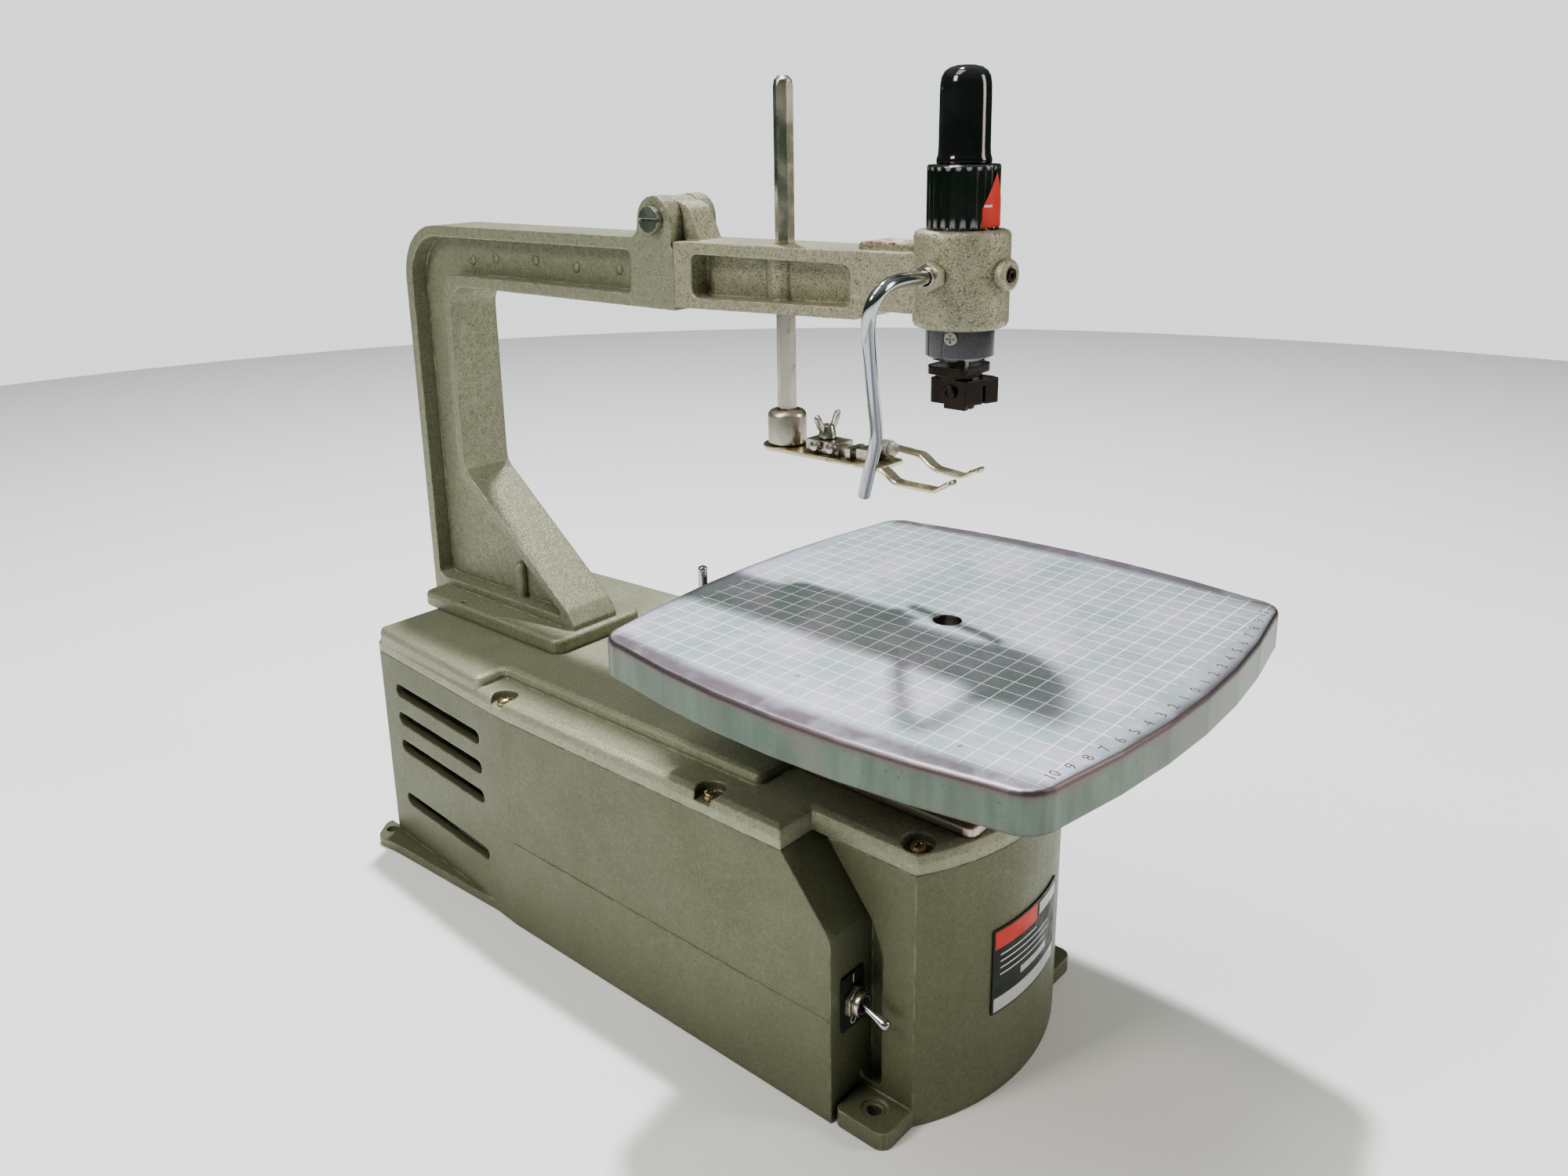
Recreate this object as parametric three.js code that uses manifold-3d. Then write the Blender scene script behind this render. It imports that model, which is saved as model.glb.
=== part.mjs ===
// A bench scroll saw with a cast C-frame, a folding upper arm and a direct-drive motor base.
// Millimetres, +X to the operator's right, +Y to the rear, +Z up.
// The pieces are drawn with the blade hole of the table at X = 0, Y = 0 and the bench at Z = 0,
// and the whole group is then moved so that its origin is the middle of its footprint.
import * as THREE from 'three';
import { mergeVertices } from 'three/addons/utils/BufferGeometryUtils.js';
import Module from 'manifold-3d';

const wasm = await Module();
wasm.setup();

// ---------------------------------------------------------------- driving dimensions
const GAP = 0.3;                    // running and assembly clearance between pieces
const BLADE_Y = -3;                 // the blade line, head and lower plunger stand here

const BASE = {
  top: 135, wall: 5, rear: 380, half: 89, rearHalf: 78, taperStart: 240,
  frontHalf: 66, frontRadius: 121.5, frontCentreY: 72, shoulderY: 0.5, shoulderTopY: 29.5,
};
const COVER = { shelf: 145.5, deck: 151.5, deckHalf: 66, deckFrontY: 63, platformY: 263, round: 5 };
const ARM = {
  half: 17, top: 400, under: 364, split: 158.5, columnFront: 357, columnRear: 403,
  footTop: 160.5, footHalf: 35, footFront: 252, footRear: 392, web: 6,
};
const HINGE = { y: 172, z: 409.5, ear: 12, pin: 4 };
const HEAD = {
  collarLow: 368, collarHigh: 410, collarRadius: 21, tubeRadius: 15.2, tubeLow: 354.3, tubeHigh: 437,
  bore: 11, rod: 5, pistonLow: 420, portZ: 391.5,
};
const TABLE = {
  top: 228, thick: 18, plate: 7, hole: 7, halfWidth: 119, halfDepth: 117, sideBulge: 10, frontBulge: 10.5,
  rearBulge: 9.5,
};
const TILT = {
  radius: 44, slotRadius: 34, boltRadius: 3, slotDegrees: 30, frontY: -36, rearY: 34, wide: 12,
};
const HOLD = { y: 98, flats: 8.4, low: 301, high: 477.3, plateZ: 299.8, bossLow: 300.1, bossHigh: 317.5 };
const MOTOR = { z: 62, front: 52, rear: 163, radius: 58, shaft: 6 };
const CRANK = { throwRadius: 9, discFront: 14, discRear: 24 };
const SWITCH = { x: -73.5, z: 61, restDegrees: 17 };
const COVER_SCREWS = [[82, 243], [82, 80], [56, -24]];
const FOOT_BOLTS = [[24, 268], [24, 368]];
const VENT_HEIGHTS = [113.5, 94, 74.5, 36];

// ---------------------------------------------------------------- materials
function finish(colour, roughness, metalness) {
  return new THREE.MeshStandardMaterial({ color: colour, roughness, metalness });
}
const PAINT = finish(0x8b9078, 0.42, 0.35);
const MACHINED = finish(0xa6adb2, 0.38, 0.9);
const CHROME = finish(0xd4d8dc, 0.12, 1.0);
const NICKEL = finish(0xb9b29c, 0.3, 0.95);
const STEEL = finish(0x8f9192, 0.4, 0.95);
const BLACK_STEEL = finish(0x2b2622, 0.45, 0.8);
const BLACK_PLASTIC = finish(0x0c0c0d, 0.18, 0.0);
const BRASS = finish(0xb48a45, 0.3, 1.0);
const BRONZE = finish(0x9c7340, 0.45, 0.9);
const RUBBER = finish(0x1a1a1a, 0.85, 0.0);
const LABEL = finish(0x14231c, 0.4, 0.1);
const LAMINATION = finish(0x6d6f70, 0.55, 0.85);
const GREY_PLASTIC = finish(0x50545a, 0.5, 0.0);

// ---------------------------------------------------------------- solids
// Makes a closed body of a geometry; triangles that shrink to a line when corners merge are dropped.
function solid(geometry) {
  const bare = geometry.clone();
  bare.deleteAttribute('normal');
  bare.deleteAttribute('uv');
  const merged = mergeVertices(bare, 1e-4);
  const corners = Array.from(merged.index.array);
  const kept = corners.filter((_, i) => {
    const [a, b, c] = corners.slice(i - (i % 3), i - (i % 3) + 3);
    return a !== b && b !== c && c !== a;
  });
  const mesh = new wasm.Mesh({
    numProp: 3,
    vertProperties: merged.attributes.position.array,
    triVerts: new Uint32Array(kept),
  });
  return new wasm.Manifold(mesh);
}

function join(first, ...others) {
  return others.reduce((sum, other) => sum.add(other), first);
}

function cut(body, ...tools) {
  return tools.reduce((rest, tool) => rest.subtract(tool), body);
}

function box(x0, x1, y0, y1, z0, z1) {
  const geometry = new THREE.BoxGeometry(x1 - x0, y1 - y0, z1 - z0);
  geometry.translate((x0 + x1) / 2, (y0 + y1) / 2, (z0 + z1) / 2);
  return solid(geometry);
}

// A straight outline or one with rounded corners: each point is [u, v] or [u, v, corner radius].
function outline(points) {
  const path = [];
  points.forEach((point, i) => {
    const corner = new THREE.Vector2(point[0], point[1]);
    const radius = point[2] ?? 0;
    if (radius === 0) {
      path.push(corner);
      return;
    }
    const before = points[(i + points.length - 1) % points.length];
    const after = points[(i + 1) % points.length];
    const back = new THREE.Vector2(before[0], before[1]).sub(corner).normalize();
    const ahead = new THREE.Vector2(after[0], after[1]).sub(corner).normalize();
    const halfAngle = Math.acos(THREE.MathUtils.clamp(back.dot(ahead), -1, 1)) / 2;
    const start = corner.clone().addScaledVector(back, radius / Math.tan(halfAngle));
    const inward = back.clone().add(ahead).normalize();
    const centre = corner.clone().addScaledVector(inward, radius / Math.sin(halfAngle));
    const sweep = (Math.PI - 2 * halfAngle) * (back.cross(ahead) > 0 ? -1 : 1);
    const steps = Math.max(2, Math.ceil(Math.abs(sweep) / (radius > 12 ? 0.25 : 0.53)));
    for (let step = 0; step <= steps; step += 1) {
      path.push(start.clone().rotateAround(centre, (sweep * step) / steps));
    }
  });
  return new THREE.Shape(path);
}

// Extrudes an outline along an axis: 'x' takes (y, z), 'y' takes (x, z) and 'z' takes (x, y).
function prism(axis, shape, from, to, curveSegments = 5) {
  const settings = { depth: to - from, bevelEnabled: false, curveSegments };
  const geometry = new THREE.ExtrudeGeometry(shape, settings);
  const along = {
    x: new THREE.Matrix4().set(0, 0, 1, from, 1, 0, 0, 0, 0, 1, 0, 0, 0, 0, 0, 1),
    y: new THREE.Matrix4().set(1, 0, 0, 0, 0, 0, -1, to, 0, 1, 0, 0, 0, 0, 0, 1),
    z: new THREE.Matrix4().makeTranslation(0, 0, from),
  };
  geometry.applyMatrix4(along[axis]);
  return solid(geometry);
}

// A plate drawn from above whose upper rim is rounded over.
function roundedPlate(shape, low, high, radius, curveSegments = 5) {
  const geometry = new THREE.ExtrudeGeometry(shape, {
    depth: high - low, bevelEnabled: true, bevelThickness: radius, bevelSize: radius,
    bevelOffset: -radius, bevelSegments: 2, curveSegments,
  });
  geometry.translate(0, 0, low - radius);
  const plate = solid(geometry);
  return cut(plate, box(-400, 400, -400, 500, low - 2 * radius - 1, low));
}

// A round bar along an axis; a and b are its other two coordinates in X, Y, Z order.
function bar(axis, radius, from, to, a, b) {
  const sides = 2 * Math.round(3 + 1.6 * Math.sqrt(radius));
  const geometry = new THREE.CylinderGeometry(radius, radius, to - from, sides);
  geometry.translate(0, (from + to) / 2, 0);
  if (axis === 'x') geometry.rotateZ(-Math.PI / 2).translate(0, a, b);
  if (axis === 'y') geometry.translate(a, 0, b);
  if (axis === 'z') geometry.rotateX(Math.PI / 2).translate(a, b, 0);
  return solid(geometry);
}

// A turned piece on a vertical axis; the profile is (radius, height) and closes on itself or the axis.
function turned(profile, x, y, sides = 32) {
  const points = profile.map(([radius, height]) => new THREE.Vector2(radius, height));
  const geometry = new THREE.LatheGeometry(points, sides);
  geometry.rotateX(Math.PI / 2).translate(x, y, 0);
  return solid(geometry);
}

function hexBar(axis, flats, from, to, a, b, turn = 0) {
  const geometry = new THREE.CylinderGeometry(flats / Math.sqrt(3), flats / Math.sqrt(3), to - from, 6);
  geometry.rotateY(turn).translate(0, (from + to) / 2, 0);
  if (axis === 'x') geometry.rotateZ(-Math.PI / 2).translate(0, a, b);
  if (axis === 'y') geometry.translate(a, 0, b);
  if (axis === 'z') geometry.rotateX(Math.PI / 2).translate(a, b, 0);
  return solid(geometry);
}

function ball(radius, x, y, z, sides = 16) {
  return solid(new THREE.SphereGeometry(radius, sides, sides / 2).translate(x, y, z));
}

// A wire, pipe or strip of the given section swept along a smooth curve.
function swept(points, section, steps, closedCurve = null) {
  const path = closedCurve ?? new THREE.CatmullRomCurve3(points.map((p) => new THREE.Vector3(...p)));
  return solid(new THREE.ExtrudeGeometry(section, { steps, extrudePath: path, bevelEnabled: false }));
}

function roundSection(radius, sides) {
  const corners = Array.from({ length: sides }, (_, i) => {
    const angle = (2 * Math.PI * i) / sides;
    return [radius * Math.cos(angle), radius * Math.sin(angle)];
  });
  return outline(corners);
}

const group = new THREE.Group();

function piece(name, body, material) {
  const result = body.getMesh();
  const geometry = new THREE.BufferGeometry();
  geometry.setAttribute('position', new THREE.BufferAttribute(result.vertProperties, 3));
  geometry.setIndex(new THREE.BufferAttribute(result.triVerts, 1));
  geometry.computeVertexNormals();
  const mesh = new THREE.Mesh(geometry, material);
  mesh.name = name;
  group.add(mesh);
}

const BOTH_SIDES = [-1, 1];

// ---------------------------------------------------------------- base housing
// Plan of the housing and its cover; inset moves every wall inwards.
function basePlan(inset, shoulder) {
  const radius = BASE.frontRadius - inset;
  const half = BASE.frontHalf - inset;
  const cornerAngle = Math.asin(half / radius);
  const cornerY = BASE.frontCentreY - radius * Math.cos(cornerAngle);
  const shape = new THREE.Shape();
  shape.moveTo(-half, cornerY);
  shape.absarc(0, BASE.frontCentreY, radius, -Math.PI / 2 - cornerAngle, -Math.PI / 2 + cornerAngle, false);
  shape.lineTo(half, shoulder + inset);
  shape.lineTo(BASE.half - inset, shoulder + inset);
  shape.lineTo(BASE.half - inset, BASE.taperStart);
  shape.lineTo(BASE.rearHalf - inset, BASE.rear - inset);
  shape.lineTo(-BASE.rearHalf + inset, BASE.rear - inset);
  shape.lineTo(-BASE.half + inset, BASE.taperStart);
  shape.lineTo(-BASE.half + inset, shoulder + inset);
  shape.lineTo(-half, shoulder + inset);
  shape.closePath();
  return shape;
}

// What the sloping shoulder takes off the upper front of the wide part, seen from the side.
function shoulderNotch(side, inset) {
  const profile = outline([
    [-20, 60], [BASE.shoulderY + inset, 60], [BASE.shoulderY + inset, 100, 12],
    [BASE.shoulderTopY + inset, BASE.top + inset], [BASE.shoulderTopY + inset, 160], [-20, 160],
  ]);
  const inner = BASE.frontHalf - inset;
  return side < 0 ? prism('x', profile, -120, -inner) : prism('x', profile, inner, 120);
}

const grooveProfile = outline([
  [-12, 12, 4], [BASE.shoulderY, 12, 4], [BASE.shoulderY, 100, 12], [30.5, 136], [21, 136], [-6, 102, 12],
  [-12, 86, 10],
]);
const grooveBacking = outline([
  [-17, -2], [5.5, -2], [5.5, 96], [36, 132], [36, 140], [13, 140], [-11, 108], [-17, 92],
]);

function footPad(side, corners, height) {
  const points = corners.map(([x, y, r]) => [side * x, y, r]);
  return prism('z', outline(side < 0 ? points : points.reverse()), 0, height);
}

function baseHousing() {
  let shell = prism('z', basePlan(0, BASE.shoulderY), 0, BASE.top, 10);
  let cavity = prism('z', basePlan(BASE.wall, BASE.shoulderY), -1, BASE.top + 1, 7);
  BOTH_SIDES.forEach((side) => {
    shell = cut(shell, shoulderNotch(side, 0));
    const backing = side < 0 ? prism('x', grooveBacking, -70, -52) : prism('x', grooveBacking, 52, 70);
    cavity = cut(cavity, shoulderNotch(side, BASE.wall), backing);
  });
  let body = cut(shell, cavity);
  BOTH_SIDES.forEach((side) => {
    const groove = side < 0 ? prism('x', grooveProfile, -75, -57) : prism('x', grooveProfile, 57, 75);
    body = cut(body, groove);
    body = join(body, footPad(side, [[55, -30], [88, -30, 6], [88, -1, 3], [55, -1]], 9));
    const rearPad = [[76, 392], [80, 392, 7], [93, 382, 6], [91, 360, 6], [87, 248], [76, 248]];
    body = join(body, footPad(side, rearPad, 6));
    body = cut(body, bar('z', 3.8, -1, 12, side * 76, -15.3), bar('z', 6.5, 8, 12, side * 76, -15.3));
    body = cut(body, bar('z', 4, -1, 12, side * 82, 382));
    COVER_SCREWS.forEach(([x, y]) => {
      const boss = y > 0 ? [side * (x - 2), y] : [side * x, y + 2];
      body = join(body, bar('z', 6, 70, BASE.top, ...boss));
      body = cut(body, bar('z', 2.3, 110, BASE.top + 1, side * x, y));
    });
    body = join(body, box(side < 0 ? -86 : 68, side < 0 ? -68 : 86, 49.6, 60, 24, 116));
    VENT_HEIGHTS.forEach((z) => {
      const slot = outline([[264, z - 4.4, 4], [363, z - 4.4, 4], [363, z + 4.4, 4], [264, z + 4.4, 4]]);
      body = cut(body, prism('x', slot, side < 0 ? -100 : 60, side < 0 ? -60 : 100));
    });
  });
  const switchHole = bar('y', 6, -3, 8, SWITCH.x, SWITCH.z);
  const inletHole = bar('y', 7, BASE.rear - 8, BASE.rear + 2, 45, 40);
  return cut(body, switchHole, inletHole);
}
piece('base_housing', baseHousing(), PAINT);

// ---------------------------------------------------------------- top cover
function topCover() {
  const low = BASE.top + GAP;
  let body = roundedPlate(basePlan(0, BASE.shoulderTopY), low, COVER.shelf, COVER.round, 10);
  const deck = outline([
    [-COVER.deckHalf, COVER.deckFrontY, 5], [COVER.deckHalf, COVER.deckFrontY, 5],
    [COVER.deckHalf, COVER.platformY, 3], [86, COVER.platformY, 5], [BASE.rearHalf, BASE.rear, 5],
    [-BASE.rearHalf, BASE.rear, 5], [-86, COVER.platformY, 5], [-COVER.deckHalf, COVER.platformY, 3],
  ]);
  body = join(body, roundedPlate(deck, low, COVER.deck, 4));
  const hollowPlan = basePlan(BASE.wall + 0.5, BASE.shoulderTopY + 0.5);
  const hollow = prism('z', hollowPlan, BASE.top - 2, COVER.shelf - 5, 8);
  const deckHollow = outline([[-56, 75], [56, 75], [56, 374], [-56, 374]]);
  let inside = join(hollow, prism('z', deckHollow, BASE.top - 2, COVER.deck - 5));
  BOTH_SIDES.forEach((side) => {
    COVER_SCREWS.forEach(([x, y]) => {
      inside = cut(inside, bar('z', 11, BASE.top - 3, COVER.shelf, side * x, y));
    });
  });
  const guideSeat = [[0, BASE.top - 3], [30, BASE.top - 3], [30, COVER.shelf], [0, COVER.shelf]];
  inside = cut(inside, turned(guideSeat, 0, BLADE_Y));
  body = cut(body, inside);
  BOTH_SIDES.forEach((side) => {
    COVER_SCREWS.forEach(([x, y]) => {
      const pocket = join(
        bar('z', 8, COVER.shelf - 5, COVER.shelf + 3, side * x, y),
        bar('z', 5.5, COVER.shelf - 5, COVER.shelf + 3, side * (x + 7), y),
      );
      body = cut(body, y > 0 ? pocket : bar('z', 8, COVER.shelf - 5, COVER.shelf + 3, side * x, y));
      body = cut(body, bar('z', 2.6, BASE.top - 1, COVER.shelf, side * x, y));
    });
    FOOT_BOLTS.forEach(([x, y]) => {
      body = cut(body, bar('z', 4.3, BASE.top, COVER.deck + 1, side * x, y));
    });
  });
  body = cut(body, bar('z', 14.3, BASE.top - 1, COVER.shelf + 1, 0, BLADE_Y));
  return body;
}
piece('top_cover', topCover(), PAINT);

COVER_SCREWS.forEach(([x, y], row) => {
  BOTH_SIDES.forEach((side) => {
    const seat = COVER.shelf - 5 + GAP;
    let screw = join(
      turned([[0, seat], [4.2, seat], [4.2, seat + 1.6], [3.4, seat + 3], [1.8, seat + 3.8], [0, seat + 4]],
        side * x, y, 12),
      bar('z', 2, 114, seat + 0.5, side * x, y),
    );
    screw = cut(screw, box(side * x - 2.4, side * x + 2.4, y - 0.5, y + 0.5, seat + 2.4, seat + 5));
    screw = cut(screw, box(side * x - 0.5, side * x + 0.5, y - 2.4, y + 2.4, seat + 2.4, seat + 5));
    piece(`cover_screw_${side < 0 ? 'left' : 'right'}_${row + 1}`, screw, BRASS);
  });
});

// ---------------------------------------------------------------- rear arm with its foot
function rearArm() {
  const low = COVER.deck + GAP;
  const front = ARM.split + GAP / 2;
  const side = outline([
    [257, low], [257, 163.5, 2], [263, 172, 6], [ARM.columnFront, 246, 10],
    [ARM.columnFront, ARM.under, 15], [front, ARM.under], [front, ARM.top - 4, 3], [HINGE.y, ARM.top],
    [ARM.columnRear, ARM.top, 34], [ARM.columnRear, low],
  ]);
  const foot = outline([
    [-ARM.footHalf, ARM.footFront, 7], [ARM.footHalf, ARM.footFront, 7],
    [ARM.footHalf, ARM.footRear, 7], [-ARM.footHalf, ARM.footRear, 7],
  ]);
  let body = join(prism('x', side, -ARM.half, ARM.half, 8), roundedPlate(foot, low, ARM.footTop, 2));
  const recess = outline([
    [191, 370.5, 3], [363.5, 370.5, 10], [363.5, 243, 8], [266, 167, 2], [396.5, 165.5, 5],
    [396.5, 393.5, 28], [191, 393.5, 3],
  ]);
  BOTH_SIDES.forEach((s) => {
    const from = s < 0 ? -ARM.half - 1 : ARM.web;
    body = cut(body, prism('x', recess, from, from + ARM.half + 1 - ARM.web, 6));
    const ribX = s * (ARM.web + 2);
    body = join(body, bar('z', 4, ARM.footTop - 1, 186, ribX, 318), ball(4, ribX, 318, 186, 12));
    FOOT_BOLTS.forEach(([x, y]) => {
      body = cut(body, bar('z', 3.4, low - 1, ARM.footTop - 2, s * x, y));
    });
    body = cut(body, bar('z', 2, ARM.footTop - 4, ARM.footTop + 2, s * 30, 352));
    const ear = outline([
      [HINGE.y - 12, ARM.top - 12], [HINGE.y - 12, HINGE.z], [HINGE.y + 12, HINGE.z],
      [HINGE.y + 13, ARM.top + 3, 5], [HINGE.y + 20, ARM.top - 3],
    ]);
    const x0 = s < 0 ? -ARM.half : 8;
    body = join(body, prism('x', ear, x0, x0 + 9), bar('x', HINGE.ear, x0, x0 + 9, HINGE.y, HINGE.z));
  });
  body = cut(body, bar('x', HINGE.ear + 0.6, -8, 8, HINGE.y, HINGE.z));
  body = cut(body, box(-8, 8, 150, HINGE.y, HINGE.z - 12.6, 430));
  body = cut(body, bar('x', HINGE.pin + GAP, -20, 20, HINGE.y, HINGE.z));
  return body;
}
piece('rear_arm', rearArm(), PAINT);

FOOT_BOLTS.forEach(([x, y], row) => {
  BOTH_SIDES.forEach((side) => {
    const under = COVER.deck - 5 - GAP;
    const bolt = join(
      hexBar('z', 10, under - 4.5, under, side * x, y),
      bar('z', 3, under - 1, ARM.footTop - 2.6, side * x, y),
    );
    piece(`arm_bolt_${side < 0 ? 'left' : 'right'}_${row + 1}`, bolt, STEEL);
  });
});

// ---------------------------------------------------------------- front arm with the head collar
function frontArm() {
  const rear = ARM.split - GAP / 2;
  const side = outline([
    [rear, 365.7], [rear, ARM.top - 1, 1], [0, ARM.top], [0, 374], [33.6, 374, 4], [41.5, 369, 3],
  ].reverse());
  let body = prism('x', side, -ARM.half, ARM.half, 8);
  const recess = outline([[146, 371.5, 4], [146, 393.5, 4], [45, 393.5, 4], [45, 374, 4]].reverse());
  const rodBoss = bar('z', 9.5, 367.6, 396, 0, HOLD.y);
  const knobBoss = bar('x', 7, 4, ARM.half, HOLD.y, 383);
  BOTH_SIDES.forEach((s) => {
    const from = s < 0 ? -ARM.half - 1 : 5;
    body = cut(body, prism('x', recess, from, from + ARM.half - 4));
  });
  body = join(body, rodBoss, knobBoss);
  const tongue = outline([
    [HINGE.y - 26, ARM.top - 4], [HINGE.y - 17, HINGE.z + 6, 6], [HINGE.y - 4, HINGE.z + 11.2, 6],
    [HINGE.y, HINGE.z - 11.3], [HINGE.y - 13.8, HINGE.z - 11.3], [HINGE.y - 13.8, ARM.top - 4],
  ].reverse());
  body = join(body, prism('x', tongue, -7.6, 7.6), bar('x', HINGE.ear - 0.4, -7.6, 7.6, HINGE.y, HINGE.z));
  body = cut(body, bar('x', HINGE.pin + GAP, -10, 10, HINGE.y, HINGE.z));
  const r = HEAD.collarRadius;
  const collar = turned([
    [0, HEAD.collarLow], [r - 2.5, HEAD.collarLow], [r - 0.7, HEAD.collarLow + 0.8],
    [r, HEAD.collarLow + 2.6], [r, HEAD.collarHigh - 2.6], [r - 0.7, HEAD.collarHigh - 0.8],
    [r - 2.5, HEAD.collarHigh], [0, HEAD.collarHigh],
  ], 0, BLADE_Y, 48);
  const padSide = outline([
    [15, ARM.top - 3], [46, ARM.top - 3], [45, ARM.top + 3.5, 2], [15, ARM.top + 3.5],
  ]);
  const pad = prism('x', padSide, -10, 10);
  body = join(body, collar, pad, bar('y', 6.5, BLADE_Y - r - 3.5, BLADE_Y - r + 4, 0, HEAD.portZ));
  body = cut(body, bar('z', HEAD.tubeRadius + GAP, 350, 420, 0, BLADE_Y));
  body = cut(body, bar('y', 3.3, BLADE_Y - r - 5, BLADE_Y, 0, HEAD.portZ));
  body = cut(body, bar('x', 4.4, -r - 3, -5, BLADE_Y, HEAD.portZ));
  body = cut(body, bar('z', HOLD.flats / Math.sqrt(3) + GAP, 350, 420, 0, HOLD.y));
  return cut(body, bar('x', 3.3, 6, 20, HOLD.y, 383));
}
piece('front_arm', frontArm(), PAINT);

// ---------------------------------------------------------------- hinge pin of the arm
function hingePin() {
  const pin = join(
    bar('x', HINGE.pin, -ARM.half - 1, ARM.half, HINGE.y, HINGE.z),
    bar('x', 7, -ARM.half - 3.8, -ARM.half - GAP, HINGE.y, HINGE.z),
  );
  const slot = box(-ARM.half - 5, -ARM.half - 2.4, HINGE.y - 8, HINGE.y + 8, HINGE.z - 0.7, HINGE.z + 0.7);
  return cut(pin, slot);
}
piece('arm_hinge_pin', hingePin(), STEEL);

// ---------------------------------------------------------------- tensioning head
const T = HEAD.tubeRadius;
const SCREW_TURN = -71;
const SCREW_Z = 364.8;
const headCylinder = cut(
  turned([
    [HEAD.rod + 0.2, HEAD.tubeLow], [T - 1.2, HEAD.tubeLow], [T, HEAD.tubeLow + 1.2], [T, HEAD.tubeHigh - 1],
    [T - 1, HEAD.tubeHigh], [HEAD.bore, HEAD.tubeHigh], [HEAD.bore, 363], [HEAD.rod + 0.2, 363],
    [HEAD.rod + 0.2, HEAD.tubeLow],
  ], 0, BLADE_Y, 28),
  bar('x', 2.6, -T - 3, -5, BLADE_Y, HEAD.portZ),
  bar('y', 1.8, -T - 8, -T + 4, 0, 0).rotate([0, 0, SCREW_TURN]).translate([0, BLADE_Y, SCREW_Z]),
);
piece('head_cylinder', headCylinder, CHROME);

const capLow = HEAD.tubeHigh + GAP;
piece('head_cap', turned([
  [9.2, capLow], [13.4, capLow], [13.4, capLow + 2], [11.4, capLow + 4], [11.2, 468], [10, 473], [7, 476],
  [0, 477], [0, 474], [6, 473], [9.2, 468], [9.2, capLow],
], 0, BLADE_Y, 24), BLACK_PLASTIC);

piece('upper_plunger', join(
  bar('z', HEAD.rod, 346.3, HEAD.pistonLow + 1, 0, BLADE_Y),
  bar('z', HEAD.bore - 0.15, HEAD.pistonLow, HEAD.pistonLow + 7, 0, BLADE_Y),
  bar('z', 3.5, HEAD.pistonLow + 6, 466, 0, BLADE_Y),
), STEEL);

class Helix extends THREE.Curve {
  constructor(radius, low, high, turns) {
    super();
    Object.assign(this, { radius, low, high, turns });
  }

  getPoint(t, target = new THREE.Vector3()) {
    const angle = 2 * Math.PI * this.turns * t;
    const z = this.low + (this.high - this.low) * t;
    return target.set(this.radius * Math.cos(angle), BLADE_Y + this.radius * Math.sin(angle), z);
  }
}
const coil = new Helix(8, 364.6, HEAD.pistonLow - 1.8, 6);
piece('tension_spring', swept(null, roundSection(1, 5), 64, coil), STEEL);

const cylinderScrew = cut(
  join(bar('y', 2.9, -T - 1.6, -T - 0.2, 0, 0), bar('y', 1.5, -T - 1, -T + 2.6, 0, 0)),
  box(-2, 2, -T - 3, -T - 0.9, -0.4, 0.4),
  box(-0.4, 0.4, -T - 3, -T - 0.9, -2, 2),
);
piece('cylinder_screw', cylinderScrew.rotate([0, 0, SCREW_TURN]).translate([0, BLADE_Y, SCREW_Z]), STEEL);

const r0 = HEAD.collarRadius;
piece('collar_clamp_screw', cut(
  bar('y', 3, BLADE_Y - r0 - 4.5, BLADE_Y - T - 0.5, 0, HEAD.portZ),
  hexBar('y', 2.6, BLADE_Y - r0 - 6, BLADE_Y - r0 - 2.5, 0, HEAD.portZ),
), BLACK_STEEL);

// A blade holder: a clip rim and neck on the plunger, a block, a wedge jaw and a socket screw.
// The height h runs from the tip of the holder (0) to the clip rim (20); up is +1 for the upper one.
const HOLDER = { front: -16, rear: 9, side: 10 };
function holderSpan(tip, up, a, b) {
  return [Math.min(tip + up * a, tip + up * b), Math.max(tip + up * a, tip + up * b)];
}
function bladeHolder(tip, up) {
  const y0 = BLADE_Y + HOLDER.front;
  const y1 = BLADE_Y + HOLDER.rear;
  const plan = outline([
    [-HOLDER.side, y0 + 6, 1], [HOLDER.side - 2, y0, 1], [HOLDER.side, y0 + 5], [HOLDER.side, y1, 2],
    [-HOLDER.side, y1, 2],
  ]);
  const block = prism('z', plan, ...holderSpan(tip, up, 3.5, 14.5));
  const tab = box(-4, 4, BLADE_Y - 6, BLADE_Y + 5, ...holderSpan(tip, up, 0, 4));
  const neck = bar('z', 10.5, ...holderSpan(tip, up, 14, 17), 0, BLADE_Y, 24);
  const rimPlan = outline([
    [-12.5, BLADE_Y - 10, 4], [12, BLADE_Y - 10, 4], [14.5, BLADE_Y + 10, 2], [-12.5, BLADE_Y + 10, 4],
  ]);
  const rim = prism('z', rimPlan, ...holderSpan(tip, up, 16.5, 20.3));
  const slit = box(-0.9, 0.9, y0 - 1, BLADE_Y + 2, ...holderSpan(tip, up, -1, 12));
  const screwHole = bar('x', 2.6, -13, -3, BLADE_Y - 2, tip + up * 9);
  return cut(join(block, tab, neck, rim), slit, screwHole);
}
function bladeJaw(tip, up) {
  const x = HOLDER.side + GAP;
  const y = BLADE_Y + HOLDER.front + 5;
  const wedge = outline([[x, y], [x + 3, y + 2, 1], [x + 3, y + 13, 1], [x, y + 15]]);
  return prism('z', wedge, ...holderSpan(tip, up, 5, 13.5));
}
function socketScrew(tip, up) {
  const z = tip + up * 9;
  return cut(
    join(bar('x', 3.3, -12, -10.3, BLADE_Y - 2, z), bar('x', 2.3, -11, -3.4, BLADE_Y - 2, z)),
    hexBar('x', 2.6, -13, -10.9, BLADE_Y - 2, z),
  );
}
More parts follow.
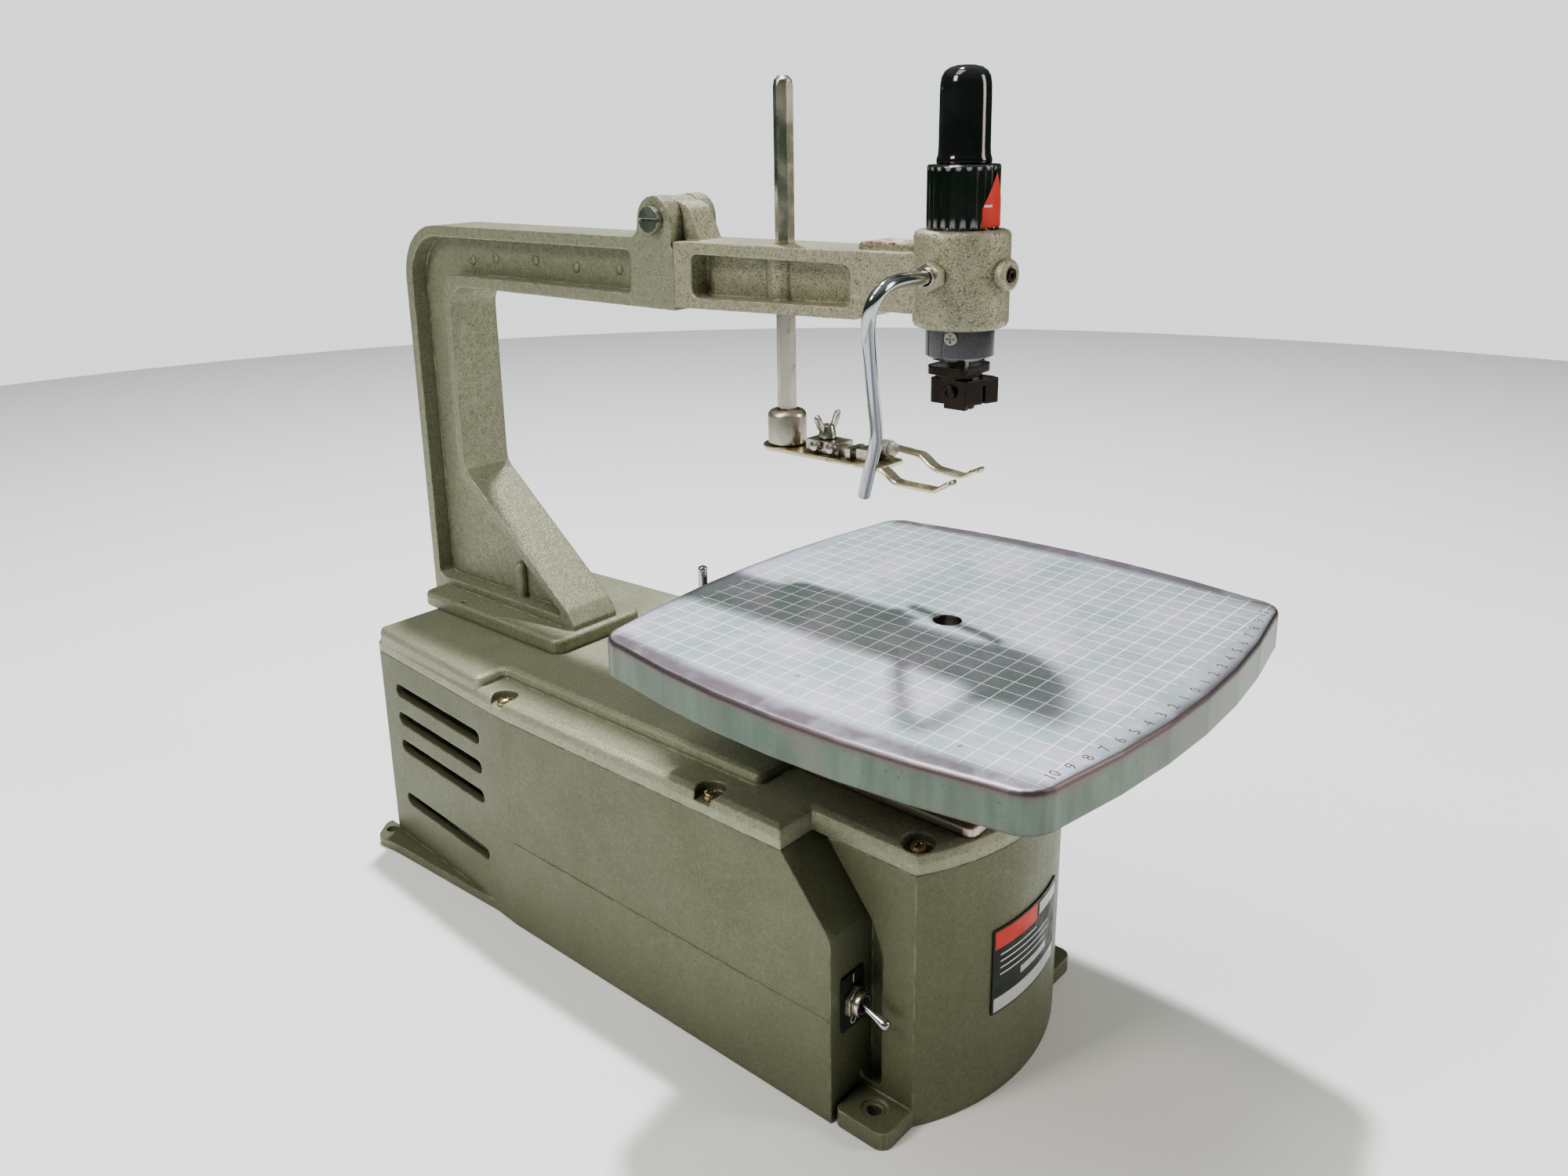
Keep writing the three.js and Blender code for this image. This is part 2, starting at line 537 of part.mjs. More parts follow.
const upperHolder = cut(bladeHolder(331, 1), bar('z', HEAD.rod + 0.1, 346, 352, 0, BLADE_Y));
piece('upper_blade_holder', upperHolder, BLACK_STEEL);
piece('upper_holder_jaw', bladeJaw(331, 1), BLACK_STEEL);
piece('upper_holder_screw', socketScrew(331, 1), BLACK_STEEL);

// ---------------------------------------------------------------- dust blower pipe
const PIPE = [
  [-26.5, BLADE_Y, 391.6], [-39.4, BLADE_Y - 0.2, 392.4], [-53.1, BLADE_Y - 0.2, 392.1], [-61.3, -2.6, 387.9],
  [-62.6, -0.1, 381.2], [-59.5, 3, 372.6], [-53.3, 6.8, 362.3], [-43.9, 12.3, 347.1], [-34.1, 17.9, 331.6],
  [-26.3, 22.3, 319.5], [-24.5, 26.3, 308.6], [-22.1, 31.5, 294.3], [-20.8, 33.8, 287.9],
];
piece('blower_pipe', join(
  swept(PIPE, roundSection(3, 8), 26),
  bar('x', 3, -32, -r0 + 2, BLADE_Y, HEAD.portZ),
), CHROME);
piece('blower_pipe_nut', cut(
  join(
    hexBar('x', 11, -r0 - 5.6, -r0 - GAP, BLADE_Y, HEAD.portZ),
    bar('x', 4.3, -r0 - 7, -r0 - 5, BLADE_Y, HEAD.portZ),
    bar('x', 4, -r0 - 1, -T - 1, BLADE_Y, HEAD.portZ),
  ),
  bar('x', 3.4, -40, -r0 + 2.4, BLADE_Y, HEAD.portZ),
  bar('x', 1.6, -30, -10, BLADE_Y, HEAD.portZ),
), NICKEL);

// ---------------------------------------------------------------- hold-down
function holdDownRod() {
  const tip = turned([
    [0, HOLD.high - 6], [5, HOLD.high - 6], [4.2, HOLD.high - 2.2], [2.4, HOLD.high - 0.4], [0, HOLD.high],
  ], 0, HOLD.y, 24);
  const shaft = hexBar('z', HOLD.flats, HOLD.low, HOLD.high - 5, 0, HOLD.y, Math.PI / 6);
  const end = hexBar('z', HOLD.flats, HOLD.high - 6, HOLD.high + 1, 0, HOLD.y, Math.PI / 6);
  return join(shaft, tip.intersect(end));
}
piece('hold_down_rod', holdDownRod(), NICKEL);
piece('hold_down_boss', cut(
  turned([
    [0, HOLD.bossLow], [9.8, HOLD.bossLow], [9.8, 314.5], [8.4, 316], [8, HOLD.bossHigh], [0, HOLD.bossHigh],
  ], 0, HOLD.y, 32),
  bar('z', 5.2, HOLD.low - 0.3, 320, 0, HOLD.y),
), CHROME);

// A finger seen from the side: flat, a step down, flat again and an upturned tip. The stations are its
// heights' places along Y: the top of the step, its foot, the start of the tip and the tip.
function fingerProfile(top, thick, drop, [back, stepTop, stepFoot, tipStart, tip]) {
  const upper = [
    [back, top], [stepTop, top], [stepFoot, top - drop], [tipStart, top - drop], [tip, top - 0.4],
  ];
  const lower = upper.map(([y, z]) => [y, z - thick]).reverse();
  return outline([...upper, ...lower]);
}
const plateTop = HOLD.plateZ;
piece('hold_down_foot', join(
  prism('z', outline([[-11.5, 32, 2], [9, 32, 3], [10.5, 96], [-12, 96]]), plateTop - 2, plateTop),
  bar('z', 12.3, plateTop - 2, plateTop, 0, HOLD.y),
  prism('x', fingerProfile(plateTop, 2, 5.5, [34, 32, 23, 2, -7.5]), -11.5, -4.5),
), NICKEL);
const fingerTop = plateTop + 2.7;
// The right finger leans inwards towards its tip.
const FINGER_LEAN = 0.2;
const finger = prism('x', fingerProfile(fingerTop, 1.8, 5, [45, 25, 14, -1, -12]), 14.5, 21.5)
  .transform([1, 0, 0, 0, FINGER_LEAN, 1, 0, 0, 0, 0, 1, 0, -FINGER_LEAN * 40, 0, 0, 1]);
piece('hold_down_finger', finger, NICKEL);
const blockLow = plateTop + GAP;
const block = join(
  box(-7, 5, 60, 80, blockLow, blockLow + 6),
  box(-8, 4, 52, 55, blockLow, blockLow + 5),
  box(-7, 7, 42, 49, blockLow, blockLow + 5.5),
  box(-5, 4, 44, 62, blockLow, blockLow + 3.5),
  box(6, 12.6, 42, 49, blockLow, blockLow + 3.5),
);
piece('hold_down_block', block, STEEL);
[[63.3, 'front'], [73, 'rear']].forEach(([y, place]) => {
  const dome = turned([[0, 0], [3, 0], [3, 1.4], [2.3, 2.9], [0, 3.6]], 0, 0, 20);
  piece(`foot_screw_${place}`, dome.rotate([0, -90, 0]).translate([-7 - GAP, y, blockLow + 3.6]), STEEL);
});
piece('finger_nut', join(
  bar('y', 4.4, 37.2, 41.7, 5, blockLow + 4.6),
  hexBar('y', 6.4, 35, 38, 5, blockLow + 4.6),
), BLACK_STEEL);
function wingNut(y, low) {
  const hub = turned([[0, low], [4.2, low], [3.4, low + 5], [2.6, low + 6.2], [0, low + 6.2]], 0, y, 20);
  const wing = outline([
    [2, low + 2, 0.5], [6, low + 4, 1], [10, low + 11, 1.4], [7, low + 12, 1.2], [3, low + 5.5, 1],
  ]);
  const blade = prism('y', wing, y - 0.9, y + 0.9);
  return join(hub, blade, blade.rotate([0, 0, 180]).translate([0, 2 * y, 0]));
}
piece('wing_nut', wingNut(72, blockLow + 6 + GAP), STEEL);

function lockKnob() {
  const knobProfile = [[0, 0], [4, 0], [4, 3], [9, 3.4], [9.6, 4.4], [9.6, 11], [8.6, 12], [0, 12]];
  const knob = turned(knobProfile, 0, 0, 24);
  const stud = turned([[0, -11], [3, -11], [3, 1], [0, 1]], 0, 0, 12);
  return join(knob, stud).rotate([0, 90, 0]).translate([ARM.half + GAP, HOLD.y, 383]);
}
piece('rod_lock_knob', lockKnob(), BLACK_PLASTIC);

// ---------------------------------------------------------------- table
function tablePlan(inset) {
  const shape = new THREE.Shape();
  const x = TABLE.halfWidth - inset;
  const y = TABLE.halfDepth - inset;
  const corner = 18;
  shape.moveTo(-x + corner, -y);
  shape.quadraticCurveTo(0, -y - 2 * TABLE.frontBulge, x - corner, -y);
  shape.quadraticCurveTo(x, -y + 1, x, -y + corner);
  shape.quadraticCurveTo(x + 2 * TABLE.sideBulge, 0, x, y - corner);
  shape.quadraticCurveTo(x, y - 1, x - corner, y);
  shape.quadraticCurveTo(0, y + 2 * TABLE.rearBulge, -x + corner, y);
  shape.quadraticCurveTo(-x, y - 1, -x, y - corner);
  shape.quadraticCurveTo(-x - 2 * TABLE.sideBulge, 0, -x, -y + corner);
  shape.quadraticCurveTo(-x, -y + 1, -x + corner, -y);
  return shape;
}
// The half-round trunnions under the table turn about the line along its top through the blade hole.
function trunnion(y, slotted) {
  const low = TABLE.top - TABLE.thick + 1;
  let body = bar('y', TILT.radius, y, y + TILT.wide, 0, TABLE.top);
  body = cut(body, box(-60, 60, y - 1, y + TILT.wide + 1, low, TABLE.top + 60));
  body = cut(body, bar('y', 25, y - 1, y + TILT.wide + 1, 0, TABLE.top));
  if (!slotted) return body;
  return cut(body, prism('y', tiltSlot(), y - 1, y + TILT.wide + 1));
}

// The curved slot that the lock bolt slides along while the table tilts.
function tiltSlot() {
  const half = TILT.boltRadius + 0.6;
  const ends = 7;
  const arc = (radius, from, to, steps) => Array.from({ length: steps + 1 }, (_, i) => {
    const angle = THREE.MathUtils.degToRad(from + ((to - from) * i) / steps);
    return [radius * Math.cos(angle), TABLE.top + radius * Math.sin(angle)];
  });
  const first = -90 - TILT.slotDegrees - ends;
  const outer = arc(TILT.slotRadius + half, first, -90 + ends, 9);
  const inner = arc(TILT.slotRadius - half, -90 + ends, first, 9);
  return outline([...outer, ...inner]);
}

function table() {
  const low = TABLE.top - TABLE.thick;
  let pocket = prism('z', tablePlan(9), low - 1, TABLE.top - TABLE.plate, 4);
  pocket = cut(pocket, box(-46, 46, -40, 50, low - 2, TABLE.top));
  pocket = cut(
    pocket,
    box(-130, 130, 3, 9, low - 2, TABLE.top),
    box(-4, 4, -130, 130, low - 2, TABLE.top),
  );
  const chuckRoom = bar('z', 25, low - 1, TABLE.top - TABLE.plate - 1, 0, BLADE_Y);
  const plate = roundedPlate(tablePlan(0), low, TABLE.top, 2, 6);
  const body = cut(plate, pocket, chuckRoom, bar('z', TABLE.hole, low - 1, TABLE.top + 1, 0, 0));
  return join(body, trunnion(TILT.frontY, false), trunnion(TILT.rearY, true));
}
piece('table', table(), MACHINED);

const boltZ = TABLE.top - TILT.slotRadius;
function trunnionBase() {
  const low = COVER.shelf + GAP;
  const flange = outline([[-40, -42, 5], [40, -42, 5], [40, 58, 5], [-40, 58, 5]]);
  let body = roundedPlate(flange, low, low + 4.5, 1);
  const upright = outline([[-28, low + 2], [28, low + 2], [24, 200], [-24, 200]]);
  [TILT.frontY, TILT.rearY].forEach((y) => {
    body = join(body, prism('y', upright, y, y + TILT.wide));
  });
  body = cut(body, bar('y', TILT.radius + 0.4, -60, TILT.rearY + TILT.wide + 0.2, 0, TABLE.top));
  const lugY = TILT.rearY + TILT.wide + 0.5;
  const lug = outline([[-11, low + 2], [11, low + 2], [8, boltZ + 6, 6], [-8, boltZ + 6, 6]]);
  body = join(body, prism('y', lug, lugY, lugY + 5.5));
  body = cut(body, bar('y', TILT.boltRadius + 0.2, lugY - 1, lugY + 7, 0, boltZ));
  body = cut(body, box(-19, 19, -22, 22, low - 1, low + 6));
  return cut(body, ...BOTH_SIDES.map((side) => bar('z', 3.3, low - 1, low + 6, side * 30, 3)));
}
piece('trunnion_base', trunnionBase(), PAINT);
BOTH_SIDES.forEach((side) => {
  const seat = COVER.shelf + 5.1;
  const bolt = join(
    hexBar('z', 10, seat, seat + 4, side * 30, 3),
    bar('z', 2.9, COVER.shelf + 0.6, seat + 1, side * 30, 3),
  );
  piece(`trunnion_bolt_${side < 0 ? 'left' : 'right'}`, bolt, STEEL);
});

piece('tilt_lock_bolt', join(
  bar('y', 5.2, TILT.rearY - 4, TILT.rearY - GAP, 0, boltZ),
  bar('y', TILT.boltRadius, TILT.rearY - 1, TILT.rearY + TILT.wide + 14, 0, boltZ),
), STEEL);
const leverY = TILT.rearY + TILT.wide + 6.4;
const LEVER = [
  [-3, leverY + 5, boltZ - 2], [-20, leverY + 5.5, boltZ - 13], [-32, leverY + 8, 171],
  [-34, leverY + 16, 168.5], [-32, 95, 168], [-31, 120, 168.5], [-31, 129.5, 174], [-31, 131, 184],
  [-31, 131, 234.5],
];
piece('tilt_lock_lever', cut(
  join(
    bar('y', 7, leverY, leverY + 9, 0, boltZ),
    swept(LEVER, roundSection(2.4, 8), 26),
  ),
  bar('y', TILT.boltRadius + 0.2, leverY - 1, leverY + 10, 0, boltZ),
), CHROME);

// ---------------------------------------------------------------- lower blade drive
const yokeRear = 1.6;
const LOWER_TIP = 194;
piece('lower_plunger', join(
  bar('z', 5, 70, LOWER_TIP - 16.3, 0, BLADE_Y),
  cut(
    prism('y', outline([[-22, 53, 4], [22, 53, 4], [22, 71, 4], [-22, 71, 4]]), BLADE_Y - 4, yokeRear),
    prism('y', outline([[-15, 58.6, 3.3], [15, 58.6, 3.3], [15, 65.4, 3.3], [-15, 65.4, 3.3]]), -20, 20),
  ),
), STEEL);
piece('plunger_guide', cut(
  join(bar('z', 14, 92, 148, 0, BLADE_Y), bar('z', 27, 130.5, 135, 0, BLADE_Y)),
  bar('z', 8.3, 90, 150, 0, BLADE_Y),
), PAINT);
piece('guide_bush', cut(bar('z', 8, 90, 149, 0, BLADE_Y), bar('z', 5.05, 88, 152, 0, BLADE_Y)), BRONZE);
const plungerSeat = bar('z', 5.1, LOWER_TIP - 22, LOWER_TIP - 16, 0, BLADE_Y);
piece('lower_blade_holder', cut(bladeHolder(LOWER_TIP, -1), plungerSeat), BLACK_STEEL);
piece('lower_holder_jaw', bladeJaw(LOWER_TIP, -1), BLACK_STEEL);
piece('lower_holder_screw', socketScrew(LOWER_TIP, -1), BLACK_STEEL);

function crankDisc() {
  const disc = bar('y', 26, CRANK.discFront, CRANK.discRear, 0, MOTOR.z);
  const span = [CRANK.discFront - 1, CRANK.discRear + 1];
  const relief = prism('y', outline([[6, 70, 3], [22, 66, 3], [16, 82, 3]]), ...span);
  const mirror = prism('y', outline([[6, 54, 3], [16, 42, 3], [22, 58, 3]]), ...span);
  return cut(disc, relief, mirror, bar('y', MOTOR.shaft + 0.2, 18, CRANK.discRear + 1, 0, MOTOR.z));
}
const crankPin = bar('y', 3, yokeRear + 0.6, CRANK.discFront + 1, CRANK.throwRadius, MOTOR.z);
piece('crank_disc', join(crankDisc(), crankPin), STEEL);

// ---------------------------------------------------------------- motor
piece('motor_rotor', join(
  bar('y', MOTOR.shaft, 18.4, 182, 0, MOTOR.z), bar('y', 31, 78, 137, 0, MOTOR.z),
), LAMINATION);
piece('stator', cut(
  bar('y', MOTOR.radius, 75.3, 139.7, 0, MOTOR.z), bar('y', 31.8, 70, 145, 0, MOTOR.z),
), LAMINATION);
function endBell(from, to, openTowards) {
  const shell = bar('y', MOTOR.radius, from, to, 0, MOTOR.z);
  const inside = openTowards > 0
    ? bar('y', MOTOR.radius - 5, from + 5, to + 1, 0, MOTOR.z)
    : bar('y', MOTOR.radius - 5, from - 1, to - 5, 0, MOTOR.z);
  const seat = openTowards > 0
    ? bar('y', 17, from + 4, from + 14, 0, MOTOR.z)
    : bar('y', 17, to - 14, to - 4, 0, MOTOR.z);
  return cut(join(cut(shell, inside), seat), bar('y', MOTOR.shaft + 0.2, from - 1, to + 1, 0, MOTOR.z));
}
const mountOutline = outline([[-82, 10, 4], [82, 10, 4], [82, 128, 4], [-82, 128, 4]]);
const mountPlate = prism('y', mountOutline, 45.5, MOTOR.front + 0.5);
piece('motor_mount', cut(
  join(mountPlate, endBell(MOTOR.front, 75, 1)),
  bar('y', MOTOR.shaft + 0.2, 40, 70, 0, MOTOR.z),
  box(-90, -60, MOTOR.front - 2.7, 60, 0, 140),
  box(60, 90, MOTOR.front - 2.7, 60, 0, 140),
), PAINT);
piece('motor_rear_bell', endBell(140, MOTOR.rear, -1), PAINT);
function coolingFan() {
  let fan = bar('y', 14, 167, 180, 0, MOTOR.z);
  fan = join(fan, bar('y', 46, 167, 169.5, 0, MOTOR.z));
  for (let i = 0; i < 9; i += 1) {
    const blade = box(12, 45, 169, 180, -1, 1).rotate([0, 40 * i, 0]).translate([0, 0, MOTOR.z]);
    fan = join(fan, blade);
  }
  return cut(fan, bar('y', MOTOR.shaft + 0.2, 160, 190, 0, MOTOR.z));
}
piece('cooling_fan', coolingFan(), GREY_PLASTIC);

// ---------------------------------------------------------------- switch, inlet bush and plate
const SX = SWITCH.x;
const SZ = SWITCH.z;
piece('switch_body', cut(
  join(box(SX - 8, SX + 8, 5.8, 27, SZ - 14, SZ + 14), bar('y', 5.7, -7.5, 7, SX, SZ)),
  bar('y', 4.3, -9, -1, SX, SZ),
), GREY_PLASTIC);
piece('switch_plate', cut(
  box(SX - 8, SX + 8, -0.9, 0.2, SZ - 14.5, SZ + 14.5), bar('y', 6, -3, 3, SX, SZ),
), LABEL);
piece('switch_nut', cut(hexBar('y', 14, -4, -1.2, SX, SZ), bar('y', 6, -6, 3, SX, SZ)), NICKEL);
function switchLever() {
  const bat = turned([
    [0, -1.8], [1.5, -1.2], [1.6, 6], [2.6, 15.6], [2.3, 17.2], [1.3, 18.2], [0, 18.6],
  ], 0, 0, 20);
  return bat.rotate([90 + SWITCH.restDegrees, 0, 0]).translate([SX, -3.6, SZ]);
}
piece('switch_lever', switchLever(), CHROME);
piece('inlet_bush', cut(
  join(
    bar('y', 6.7, BASE.rear - 9, BASE.rear + 4, 45, 40),
    bar('y', 9, BASE.rear + GAP, BASE.rear + 5, 45, 40),
  ),
  bar('y', 3.6, BASE.rear - 12, BASE.rear + 8, 45, 40),
), RUBBER);
function namePlate() {
  const radius = BASE.frontRadius + 0.2;
  const centre = THREE.MathUtils.degToRad(-90 + 1.4);
  const half = 30 / radius;
  const shape = new THREE.Shape();
  shape.absarc(0, BASE.frontCentreY, radius, centre - half, centre + half, false);
  shape.absarc(0, BASE.frontCentreY, radius + 0.6, centre + half, centre - half, true);
  shape.closePath();
  return prism('z', shape, 47, 93, 12);
}
piece('rating_plate', namePlate(), LABEL);

// The origin is the middle of the footprint on the bench.
const FRONT_EXTREME = -(TABLE.halfDepth + TABLE.frontBulge);
group.position.set(0, -(ARM.columnRear + FRONT_EXTREME) / 2, 0);
export default group;
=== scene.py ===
import math

import bmesh
import bpy
from mathutils import Matrix, Vector


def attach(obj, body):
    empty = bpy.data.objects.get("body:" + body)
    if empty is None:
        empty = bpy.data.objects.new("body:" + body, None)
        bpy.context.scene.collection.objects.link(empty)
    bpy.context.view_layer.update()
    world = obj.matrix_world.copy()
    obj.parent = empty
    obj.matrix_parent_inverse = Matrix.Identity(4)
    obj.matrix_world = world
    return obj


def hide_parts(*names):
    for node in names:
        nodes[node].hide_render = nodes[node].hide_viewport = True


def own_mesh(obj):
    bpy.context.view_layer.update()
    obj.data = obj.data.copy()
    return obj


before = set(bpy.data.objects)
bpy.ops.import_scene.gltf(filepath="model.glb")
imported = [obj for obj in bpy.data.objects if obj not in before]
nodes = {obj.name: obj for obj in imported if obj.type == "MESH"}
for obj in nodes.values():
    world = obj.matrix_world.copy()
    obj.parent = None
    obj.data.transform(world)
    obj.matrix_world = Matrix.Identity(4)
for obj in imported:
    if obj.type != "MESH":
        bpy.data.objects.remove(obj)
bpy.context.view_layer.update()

# Places in the record's frame, in metres: the table's blade hole, the head's axis and the table's top face.
BLADE_HOLE_Y = -0.13775
HEAD_Y = BLADE_HOLE_Y - 0.003
TABLE_TOP = 0.228
# The table's half sizes at its corners, and how far its sides bow outwards between them.
TABLE_HALF_X, TABLE_HALF_Y = 0.119, 0.117
TABLE_BOW_X, TABLE_BOW_Y = 0.010, 0.0105


# ---------------------------------------------------------------- node material helpers
class Surface:
    """A node material being built: each method adds one node and returns its output socket."""

    def __init__(self, name):
        self.material = bpy.data.materials.new(name)
        self.material.use_nodes = True
        self.tree = self.material.node_tree
        self.shader = self.tree.nodes["Principled BSDF"]
        self.place = self.tree.nodes.new("ShaderNodeTexCoord").outputs["Object"]

    def add(self, kind, settings=None, **inputs):
        made = self.tree.nodes.new("ShaderNode" + kind)
        for key, value in (settings or {}).items():
            setattr(made, key, value)
        for key, value in inputs.items():
            socket = made.inputs[int(key[1:])] if key[0] == "_" else made.inputs[key.replace("_", " ")]
            self.feed(socket, value)
        return made

    def feed(self, socket, value):
        if isinstance(value, bpy.types.NodeSocket):
            self.tree.links.new(value, socket)
        elif socket.type == "RGBA" and len(value) == 3:
            socket.default_value = (*value, 1)
        else:
            socket.default_value = value

    def maths(self, operation, a, b=0.0, c=0.0):
        return self.add("Math", {"operation": operation}, _0=a, _1=b, _2=c).outputs[0]

    def noise(self, size, detail=3.0, rough=0.55, place=None, distortion=0.0):
        made = self.add("TexNoise", Vector=place or self.place, Scale=1 / size, Detail=detail,
                        Roughness=rough, Distortion=distortion)
        return made.outputs["Fac"]

    def stretched(self, x, y, z):
        return self.add("Mapping", Vector=self.place, Scale=(x, y, z)).outputs[0]

    def ramp(self, value, low, high, to_low=0.0, to_high=1.0, smooth=True):
        settings = {"interpolation_type": "SMOOTHSTEP" if smooth else "LINEAR", "clamp": True}
        return self.add("MapRange", settings, _0=value, _1=low, _2=high, _3=to_low, _4=to_high).outputs[0]

    def mix(self, amount, a, b, blend="MIX"):
        made = self.tree.nodes.new("ShaderNodeMix")
        made.data_type = "RGBA"
        made.blend_type = blend
        self.feed(made.inputs[0], amount)
        self.feed(made.inputs[6], a)
        self.feed(made.inputs[7], b)
        return made.outputs[2]

    def axes(self, source=None):
        return self.add("SeparateXYZ", Vector=source or self.place).outputs

    def normal(self):
        return self.add("NewGeometry").outputs["Normal"]

    def worn_edges(self, radius=0.0014, low=0.02, high=0.16):
        """1 along the object's sharp edges, broken up by noise, and 0 on its faces."""
        rounded = self.add("Bevel", {"samples": 4}, Radius=radius).outputs[0]
        agree = self.add("VectorMath", {"operation": "DOT_PRODUCT"}, _0=rounded, _1=self.normal())
        edge = self.ramp(self.maths("SUBTRACT", 1.0, agree.outputs["Value"]), low, high)
        return self.maths("MULTIPLY", edge, self.ramp(self.noise(0.009, 4), 0.38, 0.62))

    def bump(self, height, strength, distance, radius=0.0009):
        made = self.add("Bump", Height=height, Strength=strength, Distance=distance)
        if radius:
            rounded = self.add("Bevel", {"samples": 4}, Radius=radius)
            self.tree.links.new(rounded.outputs[0], made.inputs["Normal"])
        return made.outputs[0]

    def finish(self, colour, roughness, metallic, normal=None, **constants):
        self.feed(self.shader.inputs["Base Color"], colour)
        self.feed(self.shader.inputs["Roughness"], roughness)
        self.feed(self.shader.inputs["Metallic"], metallic)
        if normal is not None:
            self.feed(self.shader.inputs["Normal"], normal)
        for key, value in constants.items():
            self.shader.inputs[key.replace("_", " ")].default_value = value
        return self.material


def hammer_paint(name, cell, veins, depth, colour, wear=1.0, mottle=0.5, metal=0.6, bare=None):
    """Hammertone enamel: a metallic skin with thin dark winding valleys, worn through along its edges.

    cell is the size of the mounds in metres, and bare the corners of a rusty patch without paint.
    """
    s = Surface(name)
    warp = s.add("TexNoise", Vector=s.place, Scale=0.6 / cell, Detail=2.0).outputs["Color"]
    shift = s.add("VectorMath", {"operation": "SCALE"}, _0=warp, Scale=cell * 2.2).outputs[0]
    place = s.add("VectorMath", {"operation": "ADD"}, _0=s.place, _1=shift).outputs[0]
    voronoi = s.add("TexVoronoi", {"feature": "DISTANCE_TO_EDGE"}, Vector=place, Scale=1 / cell)
    cells = voronoi.outputs["Distance"]
    broken = s.ramp(s.noise(cell * 2.5, 2), 0.3, 0.52)
    valley = s.maths("MULTIPLY", s.ramp(cells, 0.01, 0.13, 1.0, 0.0), broken)
    mound = s.ramp(cells, 0.0, 0.4)
    fine = s.noise(cell * 0.5, 2)
    patch = s.noise(cell * 3.2, 3, 0.6)
    dark = [c * (1 - veins) for c in colour]
    low, high = 1 - 0.1 * mottle, 1 + 0.12 * mottle
    paint = s.mix(s.ramp(patch, 0.3, 0.7), [c * low for c in colour], [c * high for c in colour])
    paint = s.mix(s.ramp(fine, 0.4, 0.7, 0.0, 0.22 * mottle), paint, [c * 1.45 for c in colour])
    paint = s.mix(valley, paint, dark)
    paint = s.mix(s.ramp(s.noise(0.07, 3), 0.35, 0.7, 0.0, 0.3 * mottle), paint, (0.185, 0.205, 0.14))
    # Painted shade with some grime: the occlusion mask darkens and browns the paint in crevices, corners and
    # under parts, where shade falls.
    grime_and_shade = s.add("AmbientOcclusion", {"samples": 4}, Distance=0.008).outputs["AO"]
    paint = s.mix(s.ramp(grime_and_shade, 0.25, 0.75, 0.7, 0.0), paint, (0.05, 0.043, 0.025))
    streak = s.noise(0.02, 5, 0.7, s.stretched(1, 1, 0.25))
    paint = s.mix(s.ramp(streak, 0.62, 0.8, 0.0, 0.3 * mottle), paint, (0.13, 0.115, 0.065))
    edge = s.maths("MULTIPLY", s.worn_edges(), 0.8 * wear)
    paint = s.mix(edge, paint, (0.60, 0.58, 0.48))
    rough = s.ramp(s.noise(0.03, 4), 0.3, 0.7, 0.42, 0.52)
    rough = s.maths("ADD", rough, s.maths("MULTIPLY", valley, 0.2))
    metal = s.maths("ADD", s.maths("MULTIPLY", edge, 0.3), metal)
    if bare:
        low, high = bare
        x, y, z = s.axes()
        zone = s.maths("MULTIPLY", s.ramp(z, low[2], low[2] + 0.0004), s.ramp(y, low[1], low[1] + 0.0006))
        zone = s.maths("MULTIPLY", zone, s.ramp(y, high[1] - 0.0006, high[1], 1.0, 0.0))
        rust = s.mix(s.ramp(s.noise(0.005, 4, 0.65), 0.42, 0.6), (0.50, 0.45, 0.36), (0.20, 0.085, 0.035))
        paint = s.mix(zone, paint, rust)
    height = s.maths("ADD", mound, s.maths("MULTIPLY", fine, 0.5))
    return s.finish(paint, rough, metal, s.bump(height, depth, cell * 0.14, 0.0020), Coat_Weight=0.1,
                    Coat_Roughness=0.25, Specular_IOR_Level=0.3)


def plain_metal(name, colour, rough, brush, stain=(0.16, 0.11, 0.06), stained=0.25, radius=0.0005):
    """Turned, drawn or plated metal with fine lines, fingermarks and a little staining."""
    s = Surface(name)
    lines = s.noise(0.0012, 3, 0.6, s.stretched(*brush))
    smear = s.noise(0.018, 4)
    tone = s.mix(s.ramp(lines, 0.35, 0.65, 0.0, 0.3), colour, [c * 0.72 for c in colour])
    tone = s.mix(s.ramp(s.noise(0.006, 5, 0.7), 0.58, 0.72, 0.0, stained), tone, stain)
    # Painted shade with some grime: the occlusion mask darkens the metal in crevices and corners, where
    # shade falls.
    grime_and_shade = s.add("AmbientOcclusion", {"samples": 4}, Distance=0.006).outputs["AO"]
    tone = s.mix(s.ramp(grime_and_shade, 0.3, 0.9, 0.5, 0.0), tone, (0.06, 0.045, 0.03))
    roughness = s.ramp(smear, 0.3, 0.7, rough * 0.75, rough * 1.35)
    return s.finish(tone, roughness, 1.0, s.bump(lines, 0.12, 0.0002, radius))


